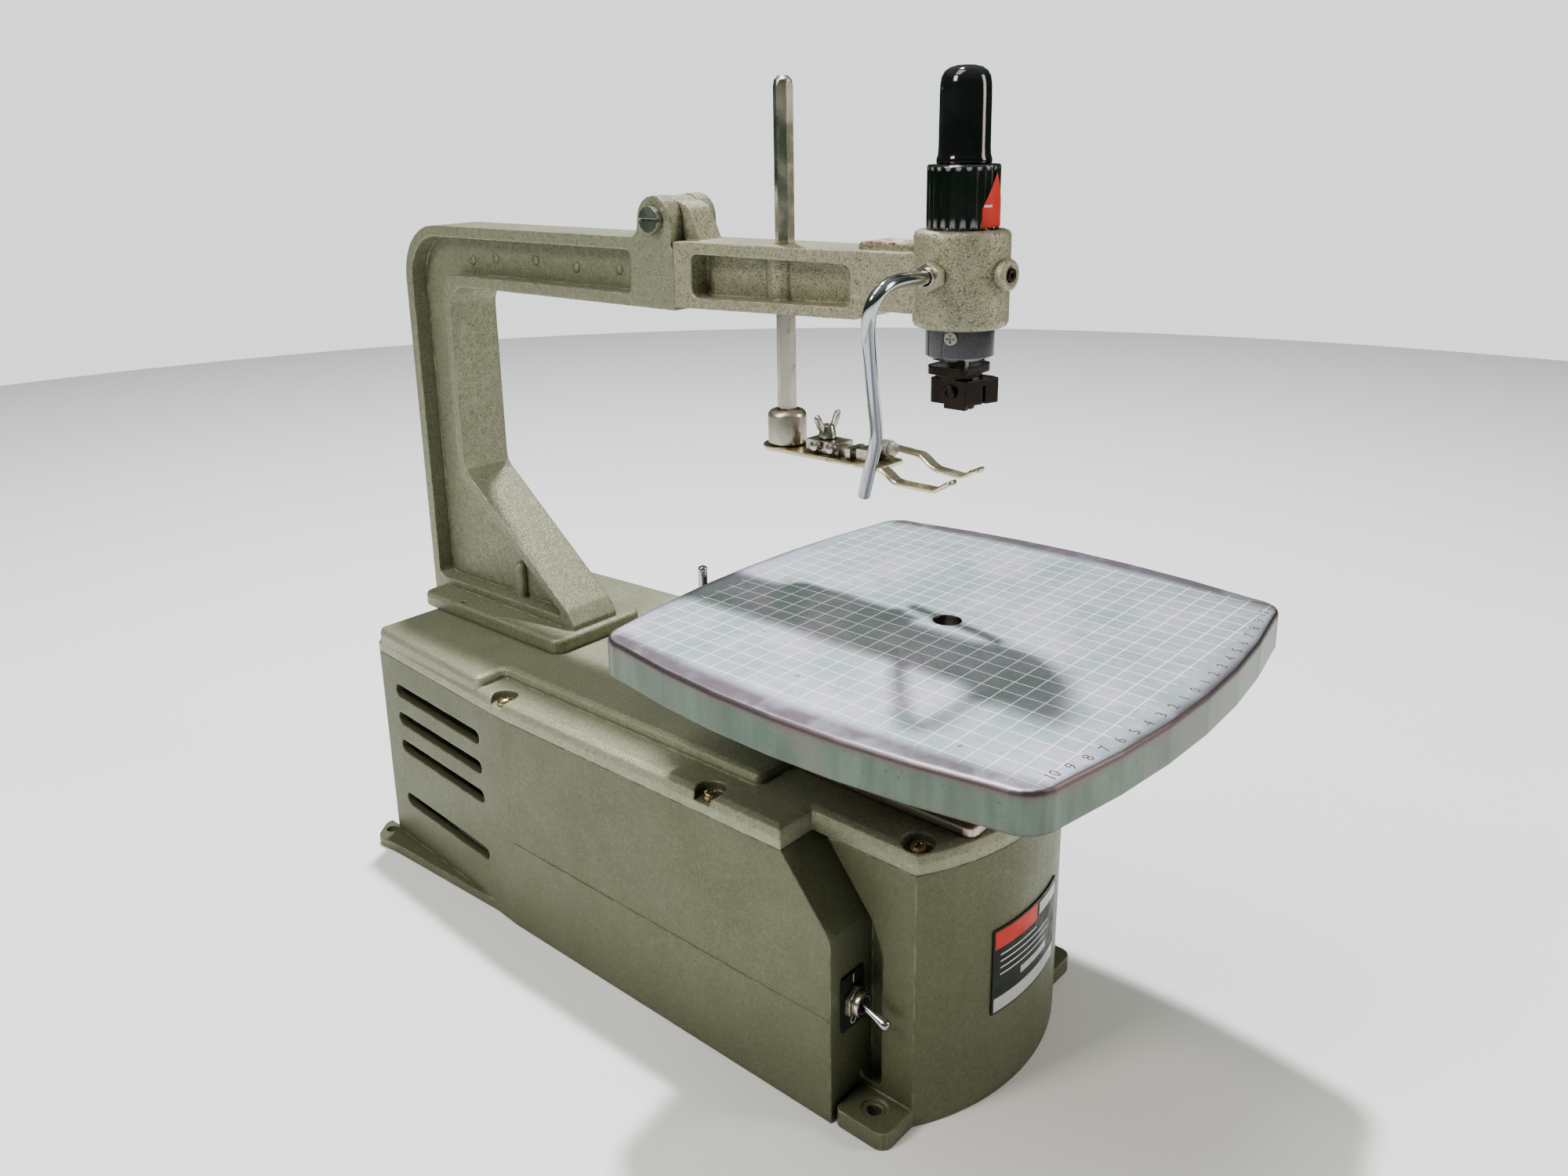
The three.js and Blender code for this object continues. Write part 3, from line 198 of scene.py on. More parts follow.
def machined_table():
    """Ground cast iron with scribed centimetre squares, rust freckles and a darker worn rim; its sides are
    tinted green as painted reflection, and its underside and blade hole darkened as painted shade.
    """
    s = Surface("table_ground_iron")
    x, y, z = s.axes()
    beyond = s.maths("SUBTRACT", y, BLADE_HOLE_Y)
    along = s.maths("MULTIPLY", x, 100.0)
    across = s.maths("MULTIPLY", beyond, 100.0)
    near = [s.maths("PINGPONG", value, 0.5) for value in (along, across)]
    wide = [s.ramp(value, 0.013, 0.028, 1.0, 0.0) for value in near]
    inside = [s.ramp(s.maths("ABSOLUTE", value), 11.35, 11.4, 1.0, 0.0) for value in (along, across)]
    held = [s.ramp(s.maths("ABSOLUTE", value), 11.1, 11.15, 1.0, 0.0) for value in (along, across)]
    line_x = s.maths("MULTIPLY", s.maths("MULTIPLY", wide[0], held[0]), inside[1])
    line_y = s.maths("MULTIPLY", s.maths("MULTIPLY", wide[1], held[1]), inside[0])
    scribed = s.maths("MAXIMUM", line_x, line_y)
    top = s.ramp(z, TABLE_TOP - 0.0003, TABLE_TOP - 0.0001)
    facing = s.ramp(s.axes(s.normal())[2], 0.7, 0.95)
    top = s.maths("MULTIPLY", top, facing)
    scribed = s.maths("MULTIPLY", scribed, top)
    worn = s.ramp(s.noise(0.03, 4, 0.6), 0.25, 0.5, 0.45, 1.0)
    cloud = s.noise(0.045, 5, 0.62)
    fine = s.noise(0.0022, 4, 0.7)
    scuff = s.noise(0.004, 4, 0.65, s.stretched(1, 0.12, 1))
    face = s.mix(s.ramp(cloud, 0.38, 0.62), (0.36, 0.46, 0.48), (0.50, 0.50, 0.61))
    face = s.mix(s.ramp(fine, 0.45, 0.75, 0.0, 0.6), face, (0.30, 0.37, 0.36))
    face = s.mix(s.ramp(scuff, 0.58, 0.75, 0.0, 0.5), face, (0.66, 0.68, 0.72))
    specks = s.ramp(s.noise(0.0016, 3, 0.6), 0.66, 0.72, 0.0, 0.8)
    face = s.mix(specks, face, (0.80, 0.80, 0.84))
    pits = s.ramp(s.noise(0.0035, 4, 0.65), 0.67, 0.73, 0.0, 0.75)
    face = s.mix(pits, face, (0.20, 0.17, 0.18))
    rust = s.ramp(s.noise(0.007, 3, 0.5), 0.735, 0.765)
    face = s.mix(s.maths("MULTIPLY", rust, 0.8), face, (0.20, 0.085, 0.03))
    face = s.mix(s.maths("MULTIPLY", scribed, worn), face, (0.95, 0.86, 0.78))
    # Painted reflection: the sides are tinted dark green to stand for the green surroundings they reflect.
    side = s.mix(s.ramp(s.noise(0.012, 4, 0.6, s.stretched(1, 1, 0.2)), 0.3, 0.7), (0.065, 0.10, 0.075),
                 (0.11, 0.145, 0.115))
    side = s.mix(s.ramp(s.noise(0.03, 4), 0.45, 0.7, 0.0, 0.75), side, (0.13, 0.115, 0.105))
    side = s.mix(s.ramp(s.noise(0.003, 4, 0.65), 0.6, 0.72, 0.0, 0.7), side, (0.06, 0.05, 0.045))
    side = s.mix(s.ramp(z, TABLE_TOP - 0.0055, TABLE_TOP - 0.002, 0.0, 0.8), side, (0.12, 0.085, 0.095))
    # Painted shade: faces turned downwards and the wall of the blade hole are darkened.
    under = s.ramp(s.axes(s.normal())[2], -0.6, -0.3, 1.0, 0.0)
    reach = s.add("VectorMath", {"operation": "DISTANCE"}, _0=s.place, _1=(0, BLADE_HOLE_Y, 0.222))
    hole = s.ramp(reach.outputs["Value"], 0.012, 0.014, 1.0, 0.0)
    side = s.mix(s.maths("MAXIMUM", under, hole), side, (0.05, 0.045, 0.035))
    tone = s.mix(top, side, face)
    # The handled rim: a dark band inside the outline, whose four sides bow outwards.
    far_x, far_y = [s.maths("ABSOLUTE", value) for value in (x, beyond)]
    bow_x = s.maths("MULTIPLY", s.maths("POWER", far_y, 2.0), TABLE_BOW_X / TABLE_HALF_Y ** 2)
    bow_y = s.maths("MULTIPLY", s.maths("POWER", far_x, 2.0), TABLE_BOW_Y / TABLE_HALF_X ** 2)
    rim_x = s.ramp(s.maths("ADD", far_x, bow_x), 0.1120, 0.1205)
    rim_y = s.ramp(s.maths("ADD", far_y, bow_y), 0.1195, 0.1262)
    rim = s.maths("MULTIPLY", s.maths("MAXIMUM", rim_x, rim_y), top)
    rim = s.maths("MULTIPLY", rim, s.ramp(s.noise(0.02, 4, 0.6), 0.3, 0.55, 0.6, 0.95))
    tone = s.mix(rim, tone, (0.13, 0.10, 0.12))
    edge = s.worn_edges(0.0032, 0.004, 0.06)
    tone = s.mix(s.maths("MULTIPLY", edge, 0.8), tone, (0.12, 0.085, 0.095))
    rough = s.ramp(cloud, 0.3, 0.7, 0.49, 0.56)
    rough = s.maths("ADD", rough, s.maths("MULTIPLY", scribed, 0.35))
    rough = s.mix(top, (0.36, 0.36, 0.36), rough)
    metal = s.mix(top, (0.9, 0.9, 0.9), (0.93, 0.93, 0.93))
    metal = s.maths("MULTIPLY", metal, s.maths("SUBTRACT", 1.0, s.maths("MULTIPLY", scribed, 0.75)))
    height = s.maths("SUBTRACT", s.maths("MULTIPLY", fine, 0.25), s.maths("MULTIPLY", scribed, 0.6))
    return s.finish(tone, rough, metal, s.bump(height, 0.18, 0.0003, 0.002))


def plastic(name, colour, rough, grain, depth):
    s = Surface(name)
    tone = s.mix(s.ramp(s.noise(0.012, 4), 0.4, 0.75, 0.0, 0.5), colour, [c * 1.7 + 0.006 for c in colour])
    scuffs = s.ramp(s.noise(0.003, 5, 0.75, s.stretched(1, 1, 0.3)), 0.62, 0.8)
    roughness = s.ramp(scuffs, 0.0, 1.0, rough, min(1.0, rough + 0.16))
    return s.finish(tone, roughness, 0.0, s.bump(s.noise(grain, 3), depth, grain * 0.1, 0.0005))


def printed(name, colour, wear_colour, rough=0.35):
    """A printed or foil label: nearly even colour with rubbed patches."""
    s = Surface(name)
    rubbed = s.ramp(s.noise(0.0035, 5, 0.7), 0.6, 0.75, 0.0, 0.6)
    tone = s.mix(rubbed, s.mix(s.noise(0.02, 3), colour, [c * 0.82 for c in colour]), wear_colour)
    roughness = s.ramp(s.noise(0.008, 4), 0.3, 0.7, rough * 0.8, rough * 1.3)
    bump = s.bump(s.noise(0.001, 2), 0.06, 0.0001, 0.0003)
    return s.finish(tone, roughness, 0.0, bump, Specular_IOR_Level=0.2)


# The machined pad on top of the front arm, bare and rusty.
PAD = ((-0.010, BLADE_HOLE_Y + 0.014, 0.4024), (0.010, BLADE_HOLE_Y + 0.047, 0.404))
# Painted light: one greenish-grey enamel in lit and shaded copies; the top cover and both arms are lighter
# copies for the light on them, the base a darker copy for the shade on its sides.
COARSE_LIT = hammer_paint("hammer_paint_coarse_lit", 0.0014, 0.66, 0.5, (0.36, 0.342, 0.235), bare=PAD)
MIDDLE_LIT = hammer_paint("hammer_paint_middle_lit", 0.0014, 0.5, 0.5, (0.265, 0.268, 0.182), wear=0.7)
FINE_SHADED = hammer_paint("hammer_paint_fine_shaded", 0.0009, 0.3, 0.6, (0.115, 0.12, 0.066), wear=0.5, mottle=0.45)
LID_LIT = hammer_paint("hammer_paint_lid_lit", 0.0011, 0.35, 0.6, (0.30, 0.305, 0.21), wear=0.6, mottle=0.6,
                   metal=0.7)
INNER = hammer_paint("inner_paint", 0.0018, 0.25, 0.4, (0.13, 0.13, 0.085), wear=0.3, mottle=1.0,
                     metal=0.45)
TABLE = machined_table()
CHROME = plain_metal("chrome_plate", (0.42, 0.425, 0.44), 0.10, (1, 1, 0.2), stained=0.12)
# Painted reflection: the sleeve's plating is darkened to stand for the dark surroundings it reflects.
CHROME_DARK_REFLECTION = plain_metal("chrome_painted_dark_reflection", (0.165, 0.15, 0.165), 0.13, (1, 1, 0.2), stained=0.12)
NICKEL = plain_metal("aged_nickel", (0.60, 0.545, 0.46), 0.27, (1, 1, 0.12), stained=0.5)
FOOT = plain_metal("yellowed_zinc", (0.74, 0.64, 0.44), 0.25, (1, 0.15, 1), (0.22, 0.11, 0.04), 0.7)
STEEL = plain_metal("turned_steel", (0.46, 0.44, 0.41), 0.3, (1, 1, 0.2), stained=0.4)
BRASSED = plain_metal("brassed_steel", (0.66, 0.50, 0.25), 0.22, (1, 1, 1), (0.10, 0.07, 0.04), 0.45)
BRONZE = plain_metal("oiled_bronze", (0.48, 0.30, 0.13), 0.35, (1, 1, 0.2))
BARE = plain_metal("bare_casting", (0.50, 0.41, 0.35), 0.42, (1, 1, 0.3), (0.14, 0.07, 0.03), 0.6, 0.001)
BLACKED = plain_metal("blackened_steel", (0.030, 0.024, 0.021), 0.27, (1, 1, 0.3), (0.09, 0.05, 0.03), 0.45,
                      0.0012)
SHEETS = plain_metal("stacked_sheets", (0.24, 0.24, 0.25), 0.45, (0.1, 6, 0.1), stained=0.3)
GLOSS_BLACK = plastic("gloss_black", (0.004, 0.004, 0.005), 0.09, 0.004, 0.05)
GREY = plastic("grey_moulding", (0.09, 0.095, 0.10), 0.5, 0.0008, 0.3)
RUBBER = plastic("black_rubber", (0.018, 0.018, 0.018), 0.75, 0.0006, 0.5)
PLATE_DARK = printed("plate_dark", (0.006, 0.011, 0.009), (0.03, 0.035, 0.03), 0.45)
PLATE_RED = printed("plate_red", (0.62, 0.025, 0.015), (0.35, 0.03, 0.02), 0.45)
PLATE_SILVER = printed("plate_silver", (0.50, 0.53, 0.49), (0.33, 0.34, 0.30), 0.3)
MARK_WHITE = printed("mark_white", (0.74, 0.75, 0.70), (0.4, 0.4, 0.36))
STAMPED = printed("stamped_brown", (0.10, 0.055, 0.035), (0.22, 0.16, 0.12), 0.5)

FINISHES = {
    "table": TABLE, "rear_arm": MIDDLE_LIT, "front_arm": COARSE_LIT, "base_housing": FINE_SHADED, "top_cover": LID_LIT,
    "trunnion_base": BARE, "plunger_guide": INNER, "motor_mount": INNER, "motor_rear_bell": INNER,
    "head_cylinder": CHROME_DARK_REFLECTION, "blower_pipe": CHROME, "hold_down_boss": NICKEL, "tilt_lock_lever": CHROME,
    "switch_lever": CHROME, "hold_down_rod": NICKEL, "hold_down_foot": FOOT, "hold_down_finger": FOOT,
    "blower_pipe_nut": NICKEL, "switch_nut": NICKEL, "guide_bush": BRONZE, "stator": SHEETS,
    "motor_rotor": SHEETS, "head_cap": GLOSS_BLACK, "rod_lock_knob": GLOSS_BLACK, "cooling_fan": GREY,
    "switch_body": GREY, "inlet_bush": RUBBER, "switch_plate": PLATE_DARK, "rating_plate": PLATE_DARK,
    "collar_clamp_screw": BLACKED, "finger_nut": STEEL, "hold_down_block": NICKEL,
}
for name, node in nodes.items():
    if name.startswith("cover_screw"):
        finish = BRASSED
    elif "holder" in name:
        finish = BLACKED
    else:
        finish = FINISHES.get(name, STEEL)
    node.data.materials.clear()
    node.data.materials.append(finish)


# ---------------------------------------------------------------- shape helpers
def finished(name, mesh, material, body):
    """Puts a mesh into the scene as one piece riding on a body."""
    mesh.materials.clear()
    mesh.materials.append(material)
    piece = bpy.data.objects.new(name, mesh)
    bpy.context.scene.collection.objects.link(piece)
    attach(piece, body)
    return piece


def make(name, skin, material, body, smooth=40, replaces=()):
    """A piece from a skin, which is its vertices and faces; smooth is the angle of its sharp edges."""
    verts, faces = skin
    mesh = bpy.data.meshes.new(name)
    mesh.from_pydata([tuple(v) for v in verts], [], faces)
    outward = bmesh.new()
    outward.from_mesh(mesh)
    bmesh.ops.recalc_face_normals(outward, faces=outward.faces)
    outward.to_mesh(mesh)
    outward.free()
    mesh.shade_smooth()
    mesh.set_sharp_from_angle(angle=math.radians(smooth))
    piece = finished(name, mesh, material, body)
    if replaces:
        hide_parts(*replaces)
    return piece


def swept(sections, capped=True):
    """Joins cross sections, each a list of points, into one skin."""
    verts = [point for section in sections for point in section]
    count = len(sections[0])
    faces = []
    for i in range(len(sections) - 1):
        for j in range(count):
            k = (j + 1) % count
            faces.append((i * count + j, i * count + k, (i + 1) * count + k, (i + 1) * count + j))
    if capped:
        faces.append(tuple(range(count)))
        faces.append(tuple(range(len(verts) - 1, len(verts) - count - 1, -1)))
    return verts, faces


def moved(skin, matrix):
    """A skin carried to another place by a matrix."""
    verts, faces = skin
    return [matrix @ Vector(v) for v in verts], faces


def standing(x, y, z, degrees=90, axis="X"):
    """Turns an upright shape about an axis and puts its foot at a place."""
    return Matrix.Translation((x, y, z)) @ Matrix.Rotation(math.radians(degrees), 4, axis)


def smooth_path(points, per_span):
    """A Catmull-Rom curve through the points."""
    points = [Vector(p) for p in points]
    ends = [points[0] * 2 - points[1]] + points + [points[-1] * 2 - points[-2]]
    path = []
    for i in range(1, len(ends) - 2):
        a, b, c, d = ends[i - 1:i + 3]
        for step in range(per_span):
            t = step / per_span
            path.append(0.5 * ((2 * b) + (c - a) * t + (2 * a - 5 * b + 4 * c - d) * t * t
                               + (3 * b - a - 3 * c + d) * t ** 3))
    path.append(points[-1])
    return path


def eased(path, passes):
    """Rounds a path's bends off by averaging each point with its neighbours."""
    for _ in range(passes):
        inner = [(path[i - 1] + path[i] * 2 + path[i + 1]) / 4 for i in range(1, len(path) - 1)]
        path = [path[0]] + inner + [path[-1]]
    return path


def heading(path, i):
    """The direction of a path at one of its points."""
    return (path[min(i + 1, len(path) - 1)] - path[max(i - 1, 0)]).normalized()


def pipe(path, radius, sides=28, end_round=0.0):
    """Round sections carried along a path without twisting."""
    sections = []
    side = Vector((0.31, 0.2, 0.93))
    turn = [2 * math.pi * j / sides for j in range(sides)]
    for i, point in enumerate(path):
        ahead = heading(path, i)
        side = (side - ahead * side.dot(ahead)).normalized()
        other = ahead.cross(side)
        sections.append([point + side * radius * math.cos(a) + other * radius * math.sin(a) for a in turn])
    if end_round:
        ahead = (path[-1] - path[-2]).normalized()
        last = sections[-1]
        for shrink, push in ((0.93, 0.4), (0.72, 0.75), (0.4, 0.95), (0.1, 1.0)):
            nose = path[-1] + ahead * end_round * push
            sections.append([nose + (p - path[-1]) * shrink for p in last])
    return swept(sections)


def turned(profile, x, y, sides=72, capped=True, flutes=None):
    """A skin of revolution about a vertical line, from a profile of radii and heights.

    A profile that closes on itself is a ring and needs no caps. flutes gives the depth and the number of
    grooves, and the heights between which they run.
    """
    sections = []
    for radius, z in profile:
        ring = []
        for j in range(sides):
            angle = 2 * math.pi * j / sides
            r = radius
            if flutes and flutes[2] <= z <= flutes[3]:
                r -= flutes[0] * (0.5 - 0.5 * math.cos(flutes[1] * angle)) ** 3
            ring.append((x + r * math.cos(angle), y + r * math.sin(angle), z))
        sections.append(ring)
    return swept(sections, capped)


def from_hole(points):
    """Points given in millimetres from the blade hole, at heights above the bench."""
    return [Vector((x / 1000, y / 1000 + BLADE_HOLE_Y, z / 1000)) for x, y, z in points]


def curved_patch(name, radius, centre_y, degrees, heights, thick, material, body, slant=0.0):
    """A thin label that follows an upright cylinder; angles run anticlockwise from +X seen from above."""
    from_deg, to_deg = degrees
    low, high = heights
    steps = max(8, int(abs(to_deg - from_deg) / 1.5))
    inner, outer = [], []
    for i in range(steps + 1):
        share = i / steps
        a = math.radians(from_deg + (to_deg - from_deg) * share)
        top = high - slant * abs(2 * share - 1)
        for ring, r in ((inner, radius), (outer, radius + thick)):
            ring.append((r * math.cos(a), centre_y + r * math.sin(a), low))
            ring.append((r * math.cos(a), centre_y + r * math.sin(a), top))
    n = len(inner)
    faces = [(0, n, n + 1, 1), (n - 2, n - 1, 2 * n - 1, 2 * n - 2)]
    for a in range(0, 2 * steps, 2):
        faces += [(a, a + 1, a + 3, a + 2), (n + a, n + a + 2, n + a + 3, n + a + 1),
                  (a, a + 2, n + a + 2, n + a), (a + 1, n + a + 1, n + a + 3, a + 3)]
    return make(name, (inner + outer, faces), material, body, 30)


# ---------------------------------------------------------------- head: sleeve, cap, label, return spring
# Profiles are radii and heights in metres; one that ends where it starts is a ring.
SLEEVE = [
    (0.0052, 0.3543), (0.0140, 0.3543), (0.0152, 0.3556), (0.0152, 0.4103), (0.0154, 0.4106),
    (0.0157, 0.4112), (0.0157, 0.4160), (0.0157, 0.4168), (0.0157, 0.4342), (0.0157, 0.4350),
    (0.0157, 0.4362), (0.0151, 0.4370), (0.0111, 0.4370), (0.0111, 0.3640), (0.0052, 0.3640),
    (0.0052, 0.3543),
]
# The sleeve's grooves: their depth, their number and the heights between which they run.
FLUTES = (0.0007, 22, 0.4112, 0.4350)
CAP = [
    (0.0001, 0.4373), (0.0115, 0.4373), (0.0118, 0.4377), (0.0118, 0.4390), (0.0116, 0.4398),
    (0.0112, 0.4410), (0.0110, 0.4440), (0.0109, 0.4640), (0.0108, 0.4690), (0.0103, 0.4724),
    (0.0090, 0.4747), (0.0068, 0.4762), (0.0038, 0.4770), (0.0001, 0.4772),
]
BOSS_RING = [
    (0.0034, -0.0006), (0.0062, -0.0006), (0.0068, 0.0), (0.0068, 0.0038), (0.0063, 0.0046),
    (0.0054, 0.0049), (0.0042, 0.0046), (0.0036, 0.0036), (0.0034, -0.0006),
]
COIL_RADIUS, COIL_WIRE, COIL_TURNS = 0.008, 0.001, 6
COIL_LOW, COIL_HIGH = 0.3646, 0.4182


def make_head():
    make("head_sleeve", turned(SLEEVE, 0, HEAD_Y, 176, False, FLUTES), CHROME_DARK_REFLECTION, "folding_arm",
         30, ("head_cylinder",))
    make("head_cap_gloss", turned(CAP, 0, HEAD_Y, 96), GLOSS_BLACK, "folding_arm", 50,
         ("head_cap",))
    curved_patch("sleeve_red_label", 0.01582, HEAD_Y, (-117, -57), (0.4112, 0.4338), 0.0001, PLATE_RED,
                 "folding_arm", 0.0145)
    curved_patch("sleeve_label_bar", 0.01594, HEAD_Y, (-114, -98), (0.4196, 0.4206), 0.00006, MARK_WHITE,
                 "folding_arm")
    # The boss round the clamp screw's head is a smooth ring on the collar.
    ring = moved(turned(BOSS_RING, 0, 0, 64, False), standing(0, HEAD_Y - 0.0202, 0.3915))
    make("clamp_boss_ring", ring, COARSE_LIT, "folding_arm", 50)


def make_return_spring():
    """The coil under the piston, made at one length; on the machine it shortens as the plunger goes down by
    25 mm.
    """
    coil = []
    steps = COIL_TURNS * 28
    for i in range(steps + 1):
        angle = 2 * math.pi * COIL_TURNS * i / steps
        z = COIL_LOW + (COIL_HIGH - COIL_LOW) * i / steps
        coil.append(Vector((COIL_RADIUS * math.cos(angle), HEAD_Y + COIL_RADIUS * math.sin(angle), z)))
    spring = make("plunger_spring", pipe(coil, COIL_WIRE, 10), STEEL, "folding_arm", 60,
                  ("tension_spring",))
    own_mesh(spring)


# ---------------------------------------------------------------- blower pipe and tilt lock lever
# Paths are in millimetres: X and Y from the blade hole, and Z above the bench.
BLOWER_PATH = [
    (-23, -3, 391.5), (-27, -3, 391.6), (-39.4, -3.2, 392.4), (-53.1, -3.2, 392.1), (-61.3, -2.6, 387.9),
    (-62.6, -0.1, 381.2), (-59.5, 3, 372.6), (-53.3, 6.8, 362.3), (-43.9, 12.3, 347.1),
    (-34.1, 17.9, 331.6), (-26.3, 22.3, 319.5), (-24.5, 26.3, 308.6), (-22.1, 31.5, 294.3),
    (-20.8, 33.8, 288.4),
]
LEVER_PATH = [
    (-3, 57.4, 192), (-20, 57.9, 181), (-32, 60.4, 171), (-34, 68.4, 168.5), (-32, 95, 168),
    (-31, 120, 168.5), (-31, 129.5, 174), (-31, 131, 184), (-31, 131, 233.5),
]
LEVER_HUB = [
    (0.0032, -0.0045), (0.0064, -0.0045), (0.0070, -0.0039), (0.0070, 0.0039), (0.0064, 0.0045),
    (0.0032, 0.0045), (0.0032, -0.0045),
]


def make_bent_rods():
    blower = eased(smooth_path(from_hole(BLOWER_PATH), 12), 60)
    make("blower_tube", pipe(blower, 0.003, 32, 0.0009), CHROME, "blower", 60, ("blower_pipe",))
    lever = smooth_path(from_hole(LEVER_PATH), 10)
    make("tilt_lock_handle", pipe(lever, 0.0024, 24, 0.0014), CHROME, "tilt_lever", 60,
         ("tilt_lock_lever",))


def make_tilt_hub():
    """The lever's hub, on the tilt lock bolt."""
    hub = moved(turned(LEVER_HUB, 0, 0, 40, False), standing(0, BLADE_HOLE_Y + 0.0569, 0.194))
    make("tilt_lock_hub", hub, STEEL, "tilt_lever", 40)


# ---------------------------------------------------------------- hold-down
# Prongs are side views in millimetres, from rear to tip: Y from the blade hole and Z above the bench.
LEFT_PRONG = [
    (40, 298.8), (36, 298.8), (33, 298.7), (31, 298.0), (28.5, 296.6), (25.5, 294.6), (23, 293.6),
    (19, 293.3), (12, 293.3), (5, 293.3), (2.6, 293.5), (0.4, 294.4), (-2.6, 296.4), (-5.4, 298.1),
    (-7.2, 298.5),
]
RIGHT_PRONG = [
    (45, 301.6), (36, 301.6), (27, 301.6), (24.6, 301.0), (21.6, 299.4), (18.6, 297.8), (15.6, 296.8),
    (12.4, 296.6), (6, 296.6), (1, 296.6), (-1.4, 296.9), (-4.0, 298.3), (-7.2, 300.5), (-10.2, 301.7),
    (-11.8, 301.8),
]
SOCKET = [
    (0.0001, 0.3001), (0.0092, 0.3001), (0.0098, 0.3007), (0.0098, 0.3142), (0.0095, 0.3156),
    (0.0086, 0.3168), (0.0072, 0.3174), (0.0060, 0.3175), (0.0057, 0.3169), (0.0056, 0.3160),
    (0.0001, 0.3160),
]
WING = [
    (1.6, 2.2), (4.6, 3.0), (7.0, 5.6), (9.2, 9.4), (9.6, 11.4), (8.7, 12.6), (7.2, 12.5), (5.8, 10.6),
    (4.4, 7.6), (2.6, 5.6), (1.4, 5.0),
]
WING_HUB = [
    (0.0001, 0.3066), (0.0044, 0.3066), (0.0045, 0.3074), (0.0040, 0.3100), (0.0035, 0.3118),
    (0.0033, 0.3126), (0.0029, 0.3130), (0.0021, 0.3130), (0.0020, 0.3122), (0.0001, 0.3122),
]
ROD_Y, WING_NUT_Y, WING_LOW = 98, 72, 306.4


def strip(points, half_width, thick, centre_x, lean=0.0, about_y=0.0):
    """A bent flat strip: its centreline in Y and Z, swept across X, with a rounded rim and tip."""
    path = smooth_path([(0, y, z) for y, z in points], 6)
    t = thick / 2
    c = thick * 0.28
    sections = []
    for i, point in enumerate(path):
        up = Vector((1, 0, 0)).cross(heading(path, i)) * -1
        if up.z < 0:
            up = -up
        half = half_width
        left = len(path) - 1 - i
        if left < 6:
            half = half_width * (1 - ((6 - left) / 6.0) ** 3 * 0.6)
        x = centre_x + lean * (point.y - about_y)
        ring = [(-half, -t + c), (-half + c, -t), (half - c, -t), (half, -t + c), (half, t - c),
                (half - c, t), (-half + c, t), (-half, t - c)]
        sections.append([Vector((x + u, point.y, point.z)) + up * v for u, v in ring])
    verts, faces = swept(sections)
    return from_hole(verts), faces


def foot_outline():
    """The foot plate from above: a round rear end about the rod and a straight front."""
    arc = [math.radians(-12 + 204 * i / 24) for i in range(25)]
    rear = [(12.3 * math.cos(a), ROD_Y + 12.3 * math.sin(a)) for a in arc]
    return rear + [(-11.5, 34), (-11.4, 32), (-4.2, 32), (7.5, 32), (9, 33.5)]


def slab(points, low, high, chamfer):
    """A flat plate from an outline, with its rims chamfered."""
    cx = sum(p[0] for p in points) / len(points)
    cy = sum(p[1] for p in points) / len(points)
    sections = []
    for inset, z in ((chamfer, low), (0, low + chamfer), (0, high - chamfer), (chamfer, high)):
        ring = []
        for x, y in points:
            d = math.hypot(x - cx, y - cy)
            k = (d - inset) / d
            ring.append((cx + (x - cx) * k, cy + (y - cy) * k, z))
        sections.append(from_hole(ring))
    return swept(sections)


def wing(side):
    """One ear of the wing nut, cupped and rounded."""
    cx, cz = 5.4, 7.0
    sections = []
    for t, shrink in ((-1.0, 0.86), (-0.75, 0.97), (0, 1.0), (0.75, 0.97), (1.0, 0.86)):
        sections.append(from_hole([(side * (cx + (x - cx) * shrink), WING_NUT_Y + t,
                                    WING_LOW + cz + (z - cz) * shrink) for x, z in WING]))
    return swept(sections)


def make_hold_down():
    make("hold_down_prong", strip(LEFT_PRONG, 3.5, 2.0, -8), FOOT, "hold_down", 35)
    make("hold_down_finger_strip", strip(RIGHT_PRONG, 3.5, 1.8, 18, 0.2, 40), FOOT, "finger", 35,
         ("hold_down_finger",))
    make("hold_down_plate", slab(foot_outline(), 297.8, 299.8, 0.35), FOOT, "hold_down", 30,
         ("hold_down_foot",))
    make("hold_down_socket", turned(SOCKET, 0, BLADE_HOLE_Y + ROD_Y / 1000, 64), NICKEL, "hold_down",
         40, ("hold_down_boss",))
    for label, side in (("right", 1), ("left", -1)):
        make("wing_" + label, wing(side), STEEL, "wing_nut_body", 55)
    make("wing_hub", turned(WING_HUB, 0, BLADE_HOLE_Y + WING_NUT_Y / 1000, 40), STEEL, "wing_nut_body",
         50, ("wing_nut",))


# ---------------------------------------------------------------- table numerals, switch and its marks
MARK_DEPTH = 0.00006
# The numerals' size, their distance in front of the blade hole, and how far their line bends back at 10 cm.
NUMERAL_SIZE, NUMERAL_LINE, NUMERAL_BOW = 0.0066, 0.1212, 0.0100
SWITCH_X, SWITCH_Z = -0.0735, 0.061
BAT = [
    (0.0001, -0.0018), (0.0014, -0.0015), (0.0019, -0.0006), (0.0016, 0.0006), (0.0015, 0.0060),
    (0.0019, 0.0105), (0.0026, 0.0152), (0.0027, 0.0165), (0.0024, 0.0177), (0.0016, 0.0184),
    (0.0001, 0.0186),
]
BUSHING = [
    (0.0044, 0.0), (0.0058, 0.0), (0.0061, 0.0004), (0.0061, 0.0028), (0.0058, 0.0034), (0.0048, 0.0034),
    (0.0044, 0.0028), (0.0044, 0.0),
]


